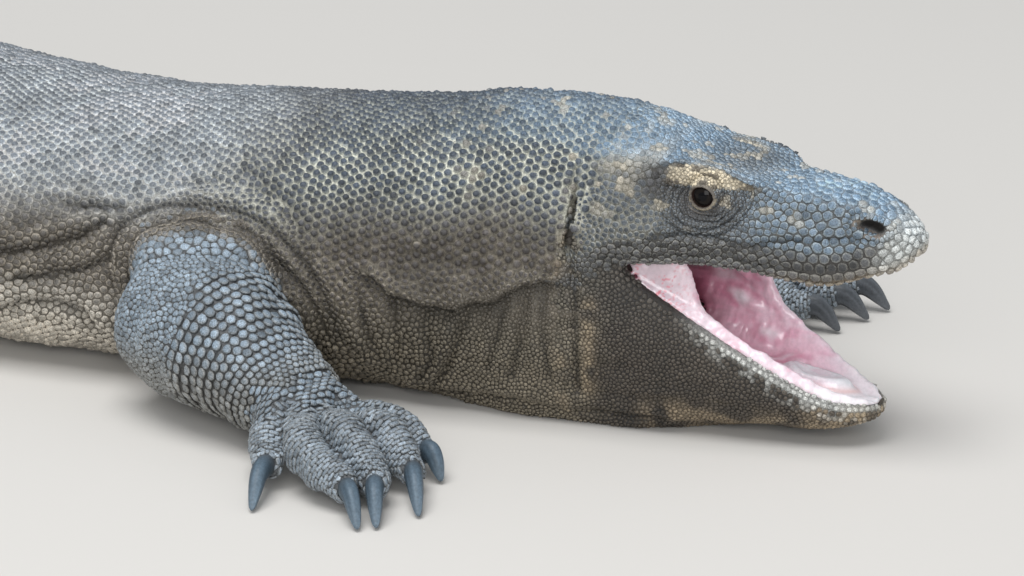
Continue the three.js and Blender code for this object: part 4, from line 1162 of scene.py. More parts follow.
    def refine(self) -> None:
        """Divide the skin's faces finely round the eyes and nostrils."""
        mesh = self.piece.data
        centres = np.empty(len(mesh.polygons) * 3)
        mesh.polygons.foreach_get("center", centres)
        centres = from_frame(centres.reshape(-1, 3))
        flat = mirrored(centres)
        chosen = np.linalg.norm((flat - (EYE_CENTRE[0] + 1, 38, EYE_CENTRE[2] - 3)) * (0.85, 0.5, 1), axis=1) < 25
        chosen |= np.linalg.norm(flat - Face.nostril, axis=1) < 13
        chosen |= (np.abs(flat[:, 0] - Face.ear[0]) < 6) & (np.abs(flat[:, 2] - Face.ear[1]) < 24) & (flat[:, 1] > 40)
        only(self.piece)
        bpy.ops.object.mode_set(mode="EDIT")
        bpy.ops.mesh.select_mode(type="FACE")
        bpy.ops.mesh.select_all(action="DESELECT")
        bpy.ops.object.mode_set(mode="OBJECT")
        mesh.polygons.foreach_set("select", chosen)
        bpy.ops.object.mode_set(mode="EDIT")
        bpy.ops.mesh.subdivide(number_cuts=2)
        bpy.ops.mesh.select_all(action="SELECT")
        bpy.ops.mesh.quads_convert_to_tris()
        bpy.ops.mesh.select_all(action="DESELECT")
        bpy.ops.object.mode_set(mode="OBJECT")

    def face(self) -> None:
        """Shape the eyelids, nostrils and ear slits."""
        points = self.sheet.points
        for side in Side:
            points = Face.eye(points, side)
            self.sheet.points = Face.openings(points, self.sheet.normals(), side)
            near = (points[:, 1] * side.value > 8) * smoothstep(3.2, 2.4, Face.hole(points))
            self.sheet.smooth(2, near * 0.5)
            points = self.sheet.points
        self.sheet.write(self.piece)

    def keep(self) -> None:
        """Keep the finished skin for searches, and colour it."""
        sheet = self.sheet
        self.outward = sheet.normals()
        self.labels = self.label(sheet.points)
        self.tree = BVHTree.FromPolygons(sheet.points.tolist(), sheet.faces.tolist())
        _, rim, gap = Markings.at(sheet.points, self.labels)
        # The skin's colour, darkened by shade painted into the folds and under the neck's hanging edge.
        tint = mixed(gap, rim, np.full(len(gap), 0.08)) * self.shade(sheet.points)[:, None]
        tint = Face.shade(sheet.points, tint)
        paint(self.piece.data, tint)
        smoothed(self.piece)

    def shade(self, points: Array) -> Array:
        """Give how light each place is: shade painted into the creases of the folds, and a painted shadow under the
        neck's hanging edge.
        """
        light = np.ones(len(points))
        # Painted shade in the creases of the deeper folds.
        for fold in FOLDS:
            if fold.depth > 1.4:
                light *= 1 - min(0.75, 0.32 * fold.depth) * bell(fold.reach(points), max(fold.width * 0.8, 1.6))
        for drape in DRAPES:
            light *= drape.shade(points)
        return light

    def settle(self, places: Array) -> tuple[Array, Array, Array]:
        """Bring places to the skin.

        Returns:
            The nearest places on the skin, the outward directions there and the parts there.
        """
        found = [self.tree.find_nearest(p) for p in places.tolist()]
        on = np.array([tuple(f[0]) for f in found])
        corners = self.sheet.faces[[f[2] for f in found]]
        weight = 1 / (np.linalg.norm(self.sheet.points[corners] - on[:, None], axis=2, keepdims=True) + 0.3)
        return on, unit((self.outward[corners] * weight).sum(1)), self.labels[corners[:, 0]]


class Face:
    """The finely shaped places of the head."""

    nostril = (47.0, 20.0, 132.0)
    ear = (-117.0, 120.0)
    brow = Guide((-36, 13.5), (-24, 16.5), (-8, 18), (6, 17), (18, 13), (28, 9), (40, 5))

    # Folds below the eye: each one's distance from the eyeball's middle, depth and width.
    pouches = ((9.9, 1.0, 0.8), (12.4, 1.5, 0.9), (15.4, 1.7, 1.0), (19.2, 1.9, 1.2), (23.6, 1.6, 1.3))

    @staticmethod
    def opening(dx: Array, dz: Array) -> Array:
        """Give each place's distance from the middle of an eye, where 1 is the lids' edge."""
        return np.hypot(dx / 5.9, dz / 5.4)

    @classmethod
    def eye(cls, points: Array, side: Side) -> Array:
        """Shape the brow, the lids round one eyeball, the orbit's trough and the folds below."""
        ex, ey, ez = EYE_CENTRE
        away = points[:, 1] * side.value
        dx, dz = points[:, 0] - ex, points[:, 2] - ez
        near = (np.abs(dx) < 46) & (np.abs(dz) < 32) & (away > 14)
        dx, dz, old = dx[near], dz[near], away[near]
        rho = np.hypot(dx, dz)
        opening = cls.opening(dx, dz + 0.1)
        # The brow's ridge stands out over a hollow that reaches from the ridge to the eye.
        over = dz - cls.brow(dx)
        span = smoothstep(-36, -24, dx) * smoothstep(42, 26, dx)
        ridge = np.where(over > 0, np.exp(-((over / 7.5) ** 2)), np.exp(-((over / 1.7) ** 2)))
        target = old + 3.0 * ridge * span
        target -= 1.9 * span * smoothstep(0.4, -2.2, over) * smoothstep(-9, 0, dz)
        # The lids, drawn over the eyeball, and the trough round them.
        lid = ey + np.sqrt(np.maximum(10.2**2 - rho**2, 0.2)) + 0.65 * bell(opening - 1.3, 0.15)
        close = smoothstep(14.5, 8.0, rho)
        target += (np.maximum(lid, target - 3.2) - target) * close
        below = smoothstep(2.5, -2, dz - 0.25 * np.abs(dx))
        for radius, depth, width in cls.pouches:
            ring = np.hypot(dx - 2.5, (dz + 0.2) * 1.15) + 1.5 * speckle(np.column_stack([dx, dz, dz * 0]), 7, 71)
            target += below * (0.35 * bell(ring - radius + 1.5, width) - depth * bell(ring - radius, width))
        corner = np.hypot((dx - 13) / 9, (dz + 2.0 + 0.35 * (dx - 9)) / 1.4)
        target -= 1.1 * np.exp(-(corner**2)) + 1.0 * np.exp(-(np.hypot((dx + 13) / 7, (dz - 3) / 1.5) ** 2))
        target += (ey + 4.0 - target) * smoothstep(1.12, 0.99, opening)
        points = points.copy()
        points[near, 1] = (old + (target - old) * smoothstep(14, 22, old)) * side.value
        return points

    @classmethod
    def hole(cls, points: Array) -> Array:
        """Give each place's distance from the middle of a nostril, where 1 is its rim."""
        x, z = points[:, 0] - cls.nostril[0], points[:, 2] - cls.nostril[2]
        return np.hypot((0.97 * x - 0.24 * z) / 6.6, (0.97 * z + 0.24 * x) / 3.2)

    @classmethod
    def openings(cls, points: Array, outward: Array, side: Side) -> Array:
        """Press in one nostril and one ear slit."""
        away = points[:, 1] * side.value
        d = cls.hole(points)
        push = np.where(away > 8, -6.0 * np.exp(-(d**3.2)) + 1.3 * bell(d - 1.5, 0.3) - 0.5 * bell(d - 2.15, 0.2), 0)
        slit = np.hypot((points[:, 0] - cls.ear[0] - (points[:, 2] - cls.ear[1]) * 0.04) / 2.0,
                        (points[:, 2] - cls.ear[1]) / 14.5)
        push += np.where(away > 40, -7.0 * np.exp(-(slit**3)) + 0.8 * bell(slit - 1.8, 0.5), 0)
        return points + outward * push[:, None]

    @classmethod
    def clear_of(cls, points: Array) -> Array:
        """Tell which places are clear of the eyes, nostrils, ears and mouth, where scales may lie."""
        away = np.abs(points[:, 1])
        dx, dz = points[:, 0] - EYE_CENTRE[0], points[:, 2] - EYE_CENTRE[2]
        eye = (cls.opening(dx, dz) < 1.42) & (away > 25)
        nostril = (cls.hole(points) < 1.3) & (away > 8)
        slit = np.hypot((points[:, 0] - cls.ear[0]) / 2.6, (points[:, 2] - cls.ear[1]) / 15) < 1.15
        x, over = points[:, 0], points[:, 2] - Skull.rim_height(points[:, 0])
        inner = (x > -78) & (x < -18) & (away < Skull.rim_width(x) + 1.2) & (over > -2.4) & (over < 14)
        return ~(eye | nostril | inner | (slit & (away > 40)))

    @classmethod
    def shade(cls, points: Array, tint: Array) -> Array:
        """Darken the lids' edges, and paint shade into the insides of the nostrils and ears."""
        away = np.abs(points[:, 1])
        dx, dz = points[:, 0] - EYE_CENTRE[0], points[:, 2] - EYE_CENTRE[2]
        rho, opening = np.hypot(dx, dz), cls.opening(dx, dz)
        tint = mixed(tint, (0.13, 0.115, 0.10), (away > 22) * smoothstep(11.5, 8.5, rho) * 0.75)
        tint = mixed(tint, (0.40, 0.35, 0.26), (away > 22) * bell(opening - 1.32, 0.12) * smoothstep(4, -3, dz) * 0.8)
        tint = mixed(tint, (0.05, 0.03, 0.022), (away > 22) * bell(opening - 1.05, 0.08) * 0.9)
        tint = mixed(tint, (0.30, 0.24, 0.20), (away > 8) * bell(cls.hole(points) - 1.35, 0.22) * 0.6)
        # Painted shade deep in the nostril.
        tint = mixed(tint, (0.012, 0.010, 0.009), (away > 8) * smoothstep(1.15, 0.8, cls.hole(points)))
        # Painted shade deep in the ear slit.
        slit = np.hypot((points[:, 0] - cls.ear[0]) / 1.8, (points[:, 2] - cls.ear[1]) / 14.5)
        return mixed(tint, (0.012, 0.010, 0.009), (away > 40) * smoothstep(1.3, 0.8, slit))


# ---- Scales ----
@dataclass(frozen=True)
class ScaleShape:
    """A small closed dome: rings of (radius, height, share of the crest's colour, share of the gap's), and a top."""

    sides: int
    bands: tuple[tuple[float, float, float, float], ...]

    def template(self) -> tuple[Array, Array, Array, Array]:
        """Give the points, their shares of the crest and gap, the faces' sizes and the faces' corners."""
        turn = np.arange(self.sides) * 2 * np.pi / self.sides
        rows = [np.column_stack([np.cos(turn) * radius, np.sin(turn) * radius, np.full(self.sides, height)])
                for radius, height, _, _ in self.bands]
        points = np.vstack([*rows, [[0, 0, 1.0]]])
        shares = np.vstack([*(np.tile((crest, gap), (self.sides, 1)) for _, _, crest, gap in self.bands), [[1.0, 0.0]]])
        faces = [list(range(self.sides))[::-1]]
        for band in range(len(self.bands) - 1):
            for k in range(self.sides):
                a, b = band * self.sides + k, band * self.sides + (k + 1) % self.sides
                faces.append([a, b, b + self.sides, a + self.sides])
        last, top = (len(self.bands) - 1) * self.sides, len(points) - 1
        faces += [[last + k, last + (k + 1) % self.sides, top] for k in range(self.sides)]
        return points, shares, np.array([len(f) for f in faces]), np.concatenate(faces)


BOSS = ((1.0, -0.3, 0.0, 0.7), (0.86, 0.12, 0.15, 0.0), (0.62, 0.78, 0.95, 0.0))


class Form(Enum):
    """The forms of scale."""

    NUB = ScaleShape(8, BOSS)
    STUD = ScaleShape(6, BOSS)
    BEAD = ScaleShape(8, ((1.0, -0.45, 0.0, 1.0), (0.86, 0.40, 0.15, 0.12), (0.56, 0.88, 1.0, 0.0)))
    PLATE = ScaleShape(8, ((1.0, -0.6, 0.0, 1.0), (0.94, 0.42, 0.15, 0.1), (0.62, 0.88, 1.0, 0.0)))
    PEBBLE = ScaleShape(6, ((1.0, -0.45, 0.0, 1.0), (0.84, 0.42, 0.2, 0.1), (0.50, 0.90, 1.0, 0.0)))
    GRAIN = ScaleShape(6, ((1.0, -0.45, 0.0, 1.0), (0.74, 0.62, 0.5, 0.0)))


@dataclass
class Rows:
    """Places for scales, with one row of each array for each scale.

    A scale has its middle, lie, length, width, height, place on the unwrapped skin and tilt. Laying it on the skin
    gives it its outward direction and its part. A boxed scale is a square-ended bar.
    """

    middle: Array
    lie: Array
    long: Array
    wide: Array
    high: Array
    unwrap: Array
    tilt: Array | float = 0.08
    outward: Array | None = None
    labels: Array | None = None
    boxed: Array | bool = False

    def __post_init__(self) -> None:
        """Give every scale the values that are the same for all, and fill what isn't known yet."""
        count = len(self.middle)
        for key in ("lie", "outward"):
            known = getattr(self, key)
            setattr(self, key, np.zeros((count, 3)) if known is None else np.broadcast_to(known, (count, 3)))
        for key in ("long", "wide", "high", "tilt", "boxed", "labels"):
            known = getattr(self, key)
            setattr(self, key, np.broadcast_to(0 if known is None else known, count))

    @property
    def size(self) -> Array:
        """The mean of each scale's length and width."""
        return (self.long + self.wide) / 2

    def take(self, chosen: Array) -> "Rows":
        """Give only the chosen places."""
        return Rows(*(getattr(self, each.name)[chosen] for each in fields(self)))

    @classmethod
    def gathered(cls, batches: list["Rows"]) -> "Rows":
        """Put several batches together."""
        return cls(*(np.concatenate([getattr(batch, each.name) for batch in batches]) for each in fields(cls)))


def spread_out(sample: Array, wanted: Array, fixed: Array) -> Array:
    """Choose samples that lie no closer together than the wanted distances, nor to fixed places."""
    tree = searcher(sample)
    free = np.ones(len(sample), bool)
    for place in fixed.tolist():
        _, nearest, _ = tree.find(place)
        free[[hit[1] for hit in tree.find_range(place, wanted[nearest])]] = False
    kept = []
    for i, place in enumerate(sample.tolist()):
        if free[i]:
            kept.append(i)
            free[[hit[1] for hit in tree.find_range(place, wanted[i])]] = False
    return np.array(kept, int)


@dataclass
class Coat:
    """The scales over the skin. Rows are gathered piece by piece, gaps are filled, and then each scale is fitted."""

    skin: Skin
    dice: np.random.Generator = field(default_factory=lambda: np.random.default_rng(7))
    neighbours, least_reach, unbounded, bar_overlap = 14, 0.38, 9.0, 1.16
    pieces: dict[str, tuple[Form, list[Rows]]] = field(default_factory=dict)

    def add(self, name: str, form: Form, rows: Rows, parts: tuple[int, ...] | Callable[[Array, Array], Array],
            room: float = 0.62) -> None:
        """Bring rows to the skin and keep those that fit.

        Args:
            name: the piece that the rows belong to.
            form: the piece's form of scale.
            rows: the rows.
            parts: the parts that they may lie on, or a test of places and labels.
            room: the least distance from scales already laid, against the two scales' mean size.
        """
        on, outward, labels = self.skin.settle(rows.middle)
        good = parts(on, labels) if callable(parts) else np.isin(labels, parts)
        good = good & (on[:, 2] > 1.1) & Face.clear_of(on)
        if self.pieces and room:
            laid = Rows.gathered(self.batches())
            near = np.all((laid.middle > on.min(0) - 9) & (laid.middle < on.max(0) + 9), axis=1)
            if near.any():
                size, tree, own = laid.size[near], searcher(laid.middle[near]), rows.size
                for i in np.flatnonzero(good):
                    _, j, away = tree.find(on[i])
                    good[i] = away > room * (own[i] + size[j]) / 2
        rows = rows.take(good)
        rows.middle, rows.outward, rows.labels = on[good], outward[good], labels[good]
        self.pieces.setdefault(name, (form, []))[1].append(rows)

    def batches(self) -> list[Rows]:
        """Give all the rows laid so far, piece by piece."""
        return [batch for _, batches in self.pieces.values() for batch in batches]

    def middles(self, *names: str) -> Array:
        """Give the middles of the scales that some pieces have so far."""
        return np.vstack([batch.middle for name in names for batch in self.pieces[name][1]])

    def fill(self) -> None:
        """Lay small scales in the bare places between the rows."""
        sheet, labels = self.skin.sheet, self.skin.labels
        faces = sheet.faces[(labels[sheet.faces] != Part.INSIDE.value).all(1)]
        sample, _ = scattered(sheet, faces, 0.35, self.dice)
        on, outward, parts = self.skin.settle(sample)
        good = (on[:, 2] > 1.3) & Face.clear_of(on) & (parts != Part.INSIDE.value)
        on, outward, parts = on[good], outward[good], parts[good]
        owner = np.concatenate([
            np.full(len(batch.middle), i) for i, (_, batches) in enumerate(self.pieces.values()) for batch in batches])
        laid = Rows.gathered(self.batches())
        tree = searcher(laid.middle)
        found = np.array([[hit[1] for hit in tree.find_n(p, 5)] for p in on.tolist()])
        offset = on[:, None] - laid.middle[found]
        fore = (offset * laid.lie[found]).sum(2)
        side = np.sqrt(np.maximum((offset**2).sum(2) - fore**2, 0))
        nearest = found[:, 0]
        own = np.clip(np.minimum(laid.long, laid.wide)[nearest] * 0.55, 1.5, 3.2)
        long, wide = (reach[found] + own[:, None] for reach in (laid.long, laid.wide))
        bare = (np.hypot(fore / long, side / wide) > 0.37).all(1)
        on, outward, parts, nearest, own = on[bare], outward[bare], parts[bare], nearest[bare], own[bare]
        kept = spread_out(on, own * 0.95, np.zeros((0, 3)))
        near = laid.take(nearest)
        small = Rows(on, near.lie, own * 1.3, own * 1.3, near.high * 0.75, near.unwrap + 0.002, 0.0, outward, parts)
        for i, (_, batches) in enumerate(self.pieces.values()):
            chosen = kept[owner[nearest[kept]] == i]
            if len(chosen):
                batches.append(small.take(chosen))
        log.info("filled: %d scales", len(kept))

    def finish(self) -> None:
        """Fit every scale among its neighbours and make the pieces."""
        self.everything = Rows.gathered(self.batches())
        self.tree = searcher(self.everything.middle)
        total = sum(self.lay(name, form, batches) for name, (form, batches) in self.pieces.items())
        log.info("coat: %d triangles", total)

    def reaches(self, rows: Rows, axes: tuple[Array, Array], compass: Array) -> Array:
        """Give the share of each arm at which a scale meets its neighbours.

        Args:
            rows: the scales.
            axes: the directions of their lengths and widths.
            compass: the arms' directions, in lengths and widths.

        Returns:
            A share for each scale and arm, at most one.
        """
        near = np.array([[hit[1] for hit in self.tree.find_n(p, self.neighbours)] for p in rows.middle.tolist()])[:, 1:]
        offset = self.everything.middle[near] - rows.middle[:, None]
        spans = zip(axes, (rows.long, rows.wide))
        flat = np.stack([(offset * axis[:, None]).sum(2) / span[:, None] for axis, span in spans], -1)
        square_on = np.abs(flat) >= np.abs(flat).max(2, keepdims=True)
        flat = np.where(rows.boxed[:, None, None] & ~square_on, 0, flat)
        away = np.maximum(np.linalg.norm(flat, axis=2), 1e-6)
        facing = (self.everything.outward[near] * rows.outward[:, None]).sum(2) > 0.2
        mean = rows.size[:, None]
        bound = away * mean / (mean + self.everything.size[near])
        toward = np.einsum("kc,njc->nkj", compass, flat / away[..., None])
        bounded = (toward > 1e-3) & facing[:, None]
        limit = np.where(bounded, bound[:, None] / np.maximum(toward, 1e-3), self.unbounded)
        return np.clip(limit.min(2), self.least_reach, 1.0)

    def lay(self, name: str, form: Form, batches: list[Rows]) -> int:
        """Make one piece of coat, and give its count of triangles."""
        rows = Rows.gathered(batches)
        middle, lie, long, wide, outward = rows.middle, rows.lie, rows.long, rows.wide, rows.outward
        count = len(middle)
        lie = unit(lie - outward * (lie * outward).sum(1, keepdims=True))
        leaning = unit(outward + lie * rows.tilt[:, None])
        lie = unit(lie - leaning * (lie * leaning).sum(1, keepdims=True))
        side = np.cross(leaning, lie)
        template, shares, face_sizes, face_corners = form.value.template()
        sides, bands = form.value.sides, form.value.bands
        turn = np.arange(sides) * 2 * np.pi / sides
        arms = (lie[:, None] * np.cos(turn)[:, None] * long[:, None, None] / 2
                + side[:, None] * np.sin(turn)[:, None] * wide[:, None, None] / 2)
        square = np.maximum(np.abs(np.cos(turn)), np.abs(np.sin(turn)))[:, None] ** -0.6 * 1.1
        compass = np.column_stack([np.cos(turn), np.sin(turn)]) / 2 * square
        arms = arms * square
        reach = self.reaches(rows, (lie, side), compass)
        reach = reach * np.where(rows.boxed, self.bar_overlap, 1.0)[:, None]
        own = reach.mean(1)
        spread = np.concatenate([np.tile(reach, (1, len(bands))), np.ones((count, 1))], 1)
        arms = np.concatenate([np.tile(arms, (1, len(bands), 1)), np.zeros((count, 1, 3))], 1)
        radius = np.concatenate([np.repeat([band[0] for band in bands], sides), [0.0]])
        rise = template[:, 2] * (1 + 0.10 * self.dice.uniform(-1, 1, (count, len(template))))
        tall = rows.high * np.clip(own * 1.5, 0.5, 1.15) * (1 + 0.18 * self.dice.uniform(-1, 1, count))
        lean = self.dice.uniform(-0.07, 0.07, (count, 1, 3)) * long[:, None, None] * np.maximum(template[:, 2:], 0)
        points = middle[:, None] + arms * (spread * radius)[..., None] + lean
        points = points + leaning[:, None] * (rise * tall[:, None])[..., None]
        points[..., 2] = np.maximum(points[..., 2], 0.05)
        crest, rim, gap = Markings.at(middle, rows.labels)
        # Shade painted into the folds and under the neck's hanging edge, times a random lightness for each scale.
        light = self.skin.shade(middle)[:, None] * (1 + 0.20 * self.dice.normal(0, 1, (count, 1)).clip(-2, 2))
        crest, rim, gap = crest * light, rim * (1 + (light - 1) * 0.5), gap * light
        tint = rim[:, None] + (crest - rim)[:, None] * shares[None, :, :1] + (gap - rim)[:, None] * shares[None, :, 1:]
        places = np.clip(rows.unwrap, 0.002, 0.998)[:, None] + template[None, :, :2] * 0.0015
        corners = (face_corners[None] + np.arange(count)[:, None] * len(template)).ravel()
        piece = mesh_piece(name, points.reshape(-1, 3), np.tile(face_sizes, count), corners,
                           np.clip(tint, 0.008, 0.85).reshape(-1, 3), places.reshape(-1, 2))
        dressed(piece, SCALE_FINISH, [])
        triangles = int((face_sizes - 2).sum()) * count
        log.info("%s: %d scales, %d triangles", name, count, triangles)
        return triangles


def scattered(sheet: Sheet, faces: Array, density: float, dice: np.random.Generator) -> tuple[Array, float]:
    """Scatter samples over faces of a sheet, and give them with the faces' whole area."""
    a, b, c = (sheet.points[faces[:, k]] for k in range(3))
    area = np.linalg.norm(np.cross(b - a, c - a), axis=1) / 2
    count = int(area.sum() * density)
    chosen = dice.choice(len(faces), count, p=area / area.sum())
    u, v = dice.uniform(0, 1, (2, count, 1))
    flip = u + v > 1
    u, v = np.where(flip, 1 - u, u), np.where(flip, 1 - v, v)
    return a[chosen] + (b - a)[chosen] * u + (c - a)[chosen] * v, float(area.sum())


class Zone:
    """Which way of laying scales covers a place: rows round the trunk, or the mosaics of the head and neck."""

    throat_line = Guide((-240, 30), (-200, 62), (-150, 82), (-112, 96), (-100, 110))

    @staticmethod
    def seam(z: Array) -> Array:
        """Give where along X the head's mosaic starts at a height."""
        return -117 + 15 * smoothstep(128, 150, z)

    @classmethod
    def jaw(cls, points: Array, labels: Array) -> Array:
        """Tell which places have the jaw's grains."""
        return labels == Part.JAW.value

    @staticmethod
    def body(labels: Array) -> Array:
        """Tell which places lie on the trunk or the head."""
        return (labels == Part.BODY.value) | (labels == Part.HEAD.value)

    @classmethod
    def throat(cls, points: Array, labels: Array) -> Array:
        """Tell which places have the throat's grains."""
        below = (points[:, 0] > -240) & (points[:, 2] < cls.throat_line(points[:, 0]) + 2 * speckle(points, 9, 81))
        return (labels == Part.BODY.value) & below

    @classmethod
    def head(cls, points: Array, labels: Array) -> Array:
        """Tell which places have the head's mosaic."""
        return (labels == Part.HEAD.value) & (points[:, 0] > cls.seam(points[:, 2]))

    @classmethod
    def flank(cls, points: Array, labels: Array) -> Array:
        """Tell which places of the neck's and shoulders' sides have a mosaic."""
        share = points[:, 2] / Trunk.back_height(-points[:, 0]) + 0.03 * speckle(points, 12, 82)
        reach = points[:, 0] + 8 * speckle(points, 14, 83)
        side = (share < 0.53 + 0.05 * smoothstep(-300, -400, points[:, 0])) & (reach > -425)
        return (cls.body(labels) & (side | (FOLDS[SHOULDER_ARC].reach(points) < 22))
                & ~cls.throat(points, labels) & ~cls.head(points, labels))

    @classmethod
    def trunk(cls, points: Array, labels: Array) -> Array:
        """Tell which places have rows round the trunk."""
        others = cls.throat(points, labels) | cls.head(points, labels) | cls.flank(points, labels)
        return cls.body(labels) & ~others

    @staticmethod
    def dome(limb: LimbPlan) -> Callable[[Array, Array], Array]:
        """Make a test for the rounded elbow of an arm, where scales have no rows."""
        start, middle = (np.array(p, float) for p in limb.placed(limb.lower)[:2])
        axis, value = unit(middle - start), limb.part.value

        def test(points: Array, labels: Array) -> Array:
            along = (points - start) @ axis + 6 * speckle(points, 12, 91)
            return (labels == value) | ((labels == value + 1) & (along < 60))

        return test


def wander(points: Array, size: float, seed: int) -> Array:
    """Give a smooth random offset for each place, from three noises with seeds in a row."""
    return np.stack([speckle(points, size, seed + k) for k in range(3)], -1)


def across_sides(middles: Array) -> Array:
    """Give how far across the unwrapped skin places lie, from the right side over the crown to the left."""
    return 0.5 + np.sign(middles[:, 1]) * (180 - middles[:, 2]) / 400


class Trimming:
    """Rows of scales for each part of the body."""

    pitch = Guide((95, 4.9), (160, 5.3), (300, 5.1), (420, 5.3), (600, 5.9), (800, 6.8), (1100, 7.2), (1500, 6.6),
                  (2000, 4.6), (2450, 3.0))
    height = Guide((95, 2.2), (160, 2.7), (260, 2.5), (420, 2.1), (800, 2.0), (1100, 1.5), (2000, 0.9), (2450, 0.5))

    @classmethod
    def trunk(cls, start: float, stop: float) -> Rows:
        """Lay staggered rows round a stretch of the trunk or tail."""
        turns = np.linspace(np.pi / 2, -np.pi / 2, 161)
        batches, distance, row = [], 96.0, 0
        while distance < stop:
            pitch = float(cls.pitch(distance))
            if distance >= start:
                ring = Trunk.place(np.full(161, distance), turns)
                travel = travelled(ring)
                ground = travel[np.argmax(ring[:, 2] < 0.8)] if (ring[:, 2] < 0.8).any() else travel[-1]
                across = np.arange(0.5 * (row % 2), ground / pitch) * pitch
                turn = np.interp(across, travel, turns)
                for mirror in (1, -1):
                    if mirror < 0 and across[0] == 0:
                        turn, across = turn[1:], across[1:]
                    place = Trunk.place(np.full(len(turn), distance), turn if mirror > 0 else np.pi - turn)
                    along = np.full(len(turn), (distance - start) / (stop - start))
                    unwrap = np.column_stack([along, 0.5 + mirror * across / 620])
                    batches.append(Rows(place, Trunk.axes(distance)[1], pitch * 1.3, pitch * 1.22, 0.0, unwrap))
            distance += pitch * 0.88
            row += 1
        rows = Rows.gathered(batches)
        rows.high = cls.height(-rows.middle[:, 0])
        sway, jitter = wander(rows.middle, 30, 31) * 1.8, wander(rows.middle, 3.1, 34) * 0.75
        rows.middle = rows.middle + sway + jitter
        return rows

    @classmethod
    def limb(cls, skin: Skin, tube: Tube, pitch: Guide, spread: float, reach: float, fan: float = 0.0,
             high: float = 0.9, corner: tuple[float, float] = (0, 0), extent: float = 1.0) -> Rows:
        """Lay staggered rows round a length of a limb, where rays from its middle leave the skin.

        Args:
            skin: the finished skin.
            tube: the length's path and size.
            pitch: the rows' spacing against share of the length.
            spread: a scale's width against the rows' spacing.
            reach: the furthest that the skin may be from the path, against the tube's own size.
            fan: how far rows run round the back of the path's start, in millimetres.
            high: the scales' height.
            corner: the corner of this length's patch on the unwrapped skin.
            extent: the size of that patch.

        Returns:
            The rows.
        """
        turns = np.radians(np.arange(90, 90 - 361, -5.0))
        batches, place, row = [], -fan, 0
        while place < tube.path.length + 8:
            share = min(max(place / tube.path.length, 0.0), 1.0)
            step = float(pitch(share))
            centre, ahead, across, upward = tube.frames(share)
            size = float(max(tube.wide(share), tube.high(share)))
            lean = (max(-place, 0) - max(place - tube.path.length, 0)) / max(size, 1)
            rays = (across * np.cos(turns)[:, None] + upward * np.sin(turns)[:, None]) * math.cos(lean)
            rays = unit(rays - ahead * math.sin(lean))
            hits = [skin.tree.ray_cast(centre, ray, size * reach) for ray in rays]
            missed = np.array([hit[0] is None for hit in hits])
            ring = np.array([tuple(hit[0]) if hit[0] else tuple(centre + ray * size) for hit, ray in zip(hits, rays)])
            half = len(turns) // 2
            for mirror, order in ((1, np.arange(half + 1)), (-1, np.arange(len(turns) - 1, half - 1, -1))):
                side = ring[order]
                travel = travelled(side)
                where = np.arange(0.5 * (row % 2), travel[-1] / (step * spread)) * step * spread
                if mirror < 0 and len(where) and where[0] == 0:
                    where = where[1:]
                near = np.searchsorted(travel, where).clip(0, len(travel) - 1)
                sound = ~(missed[order][near] | missed[order][np.maximum(near - 1, 0)])
                where = where[sound]
                unwrap = np.column_stack([
                    np.full(len(where), corner[0] + extent * (place + fan) / (tube.path.length + fan + 9)),
                    corner[1] + extent * (0.5 + mirror * where / (7 * size))])
                batches.append(Rows(read_along(where, travel, side), ahead, step * 1.4, step * spread * 1.25, high,
                                    unwrap, -0.28))
            place += step * 0.88
            row += 1
        rows = Rows.gathered(batches)
        rows.middle = rows.middle + wander(rows.middle, 12, 41) * 0.5
        return rows

    @staticmethod
    def lips(upper: bool) -> Rows:
        """Lay the rows of plates along the upper or lower lips."""
        batches = []
        rows = ((3.6, 5.6), (9.6, 6.2), (15.6, 5.6)) if upper else ((2.0, 3.6), (5.4, 3.2))
        start, stop = (-90.0, 70.6) if upper else (-78.0, 49.6)
        stations = np.linspace(start, stop, 700)
        narrowing = (-90, -50, 40, 66), (0.72, 1.0, 1.0, 0.8)
        for number, (rise, tall) in enumerate(rows):
            line = []
            for x in stations:
                half = Skull.upper_half(x, 0.4)[8:2:-1] if upper else Skull.lower_half(x, 0.4)[4:10]
                travel = travelled(half)
                reach = rise * float(np.interp(x, *narrowing))
                line.append((x, *read_along(min(reach, travel[-1]), travel, half)))
            line = np.array(line)
            travel = travelled(line)
            step = 6.4 if upper else 3.6
            where = np.arange(step * (0.5 + 0.5 * (number % 2)), travel[-1], step)
            spot = read_along(where, travel, line)
            lie = unit(read_along(where + 1, travel, line) - read_along(where - 1, travel, line))
            shrink = np.interp(spot[:, 0], *narrowing) if upper else np.ones(len(where))
            for mirror in (1, -1):
                margin = 0.5 + mirror * (0.42 - 0.02 * number) * np.ones(len(where))
                batches.append(Rows(
                    spot * (1, mirror, 1), lie * (1, mirror, 1), step * 1.25 * shrink,
                    tall * (1.02 if number == 0 else 1.3) * shrink, (1.0 if upper else 0.6) * shrink,
                    np.column_stack([(spot[:, 0] + 120) / 200, margin]), 0.0))
        return Rows.gathered(batches)

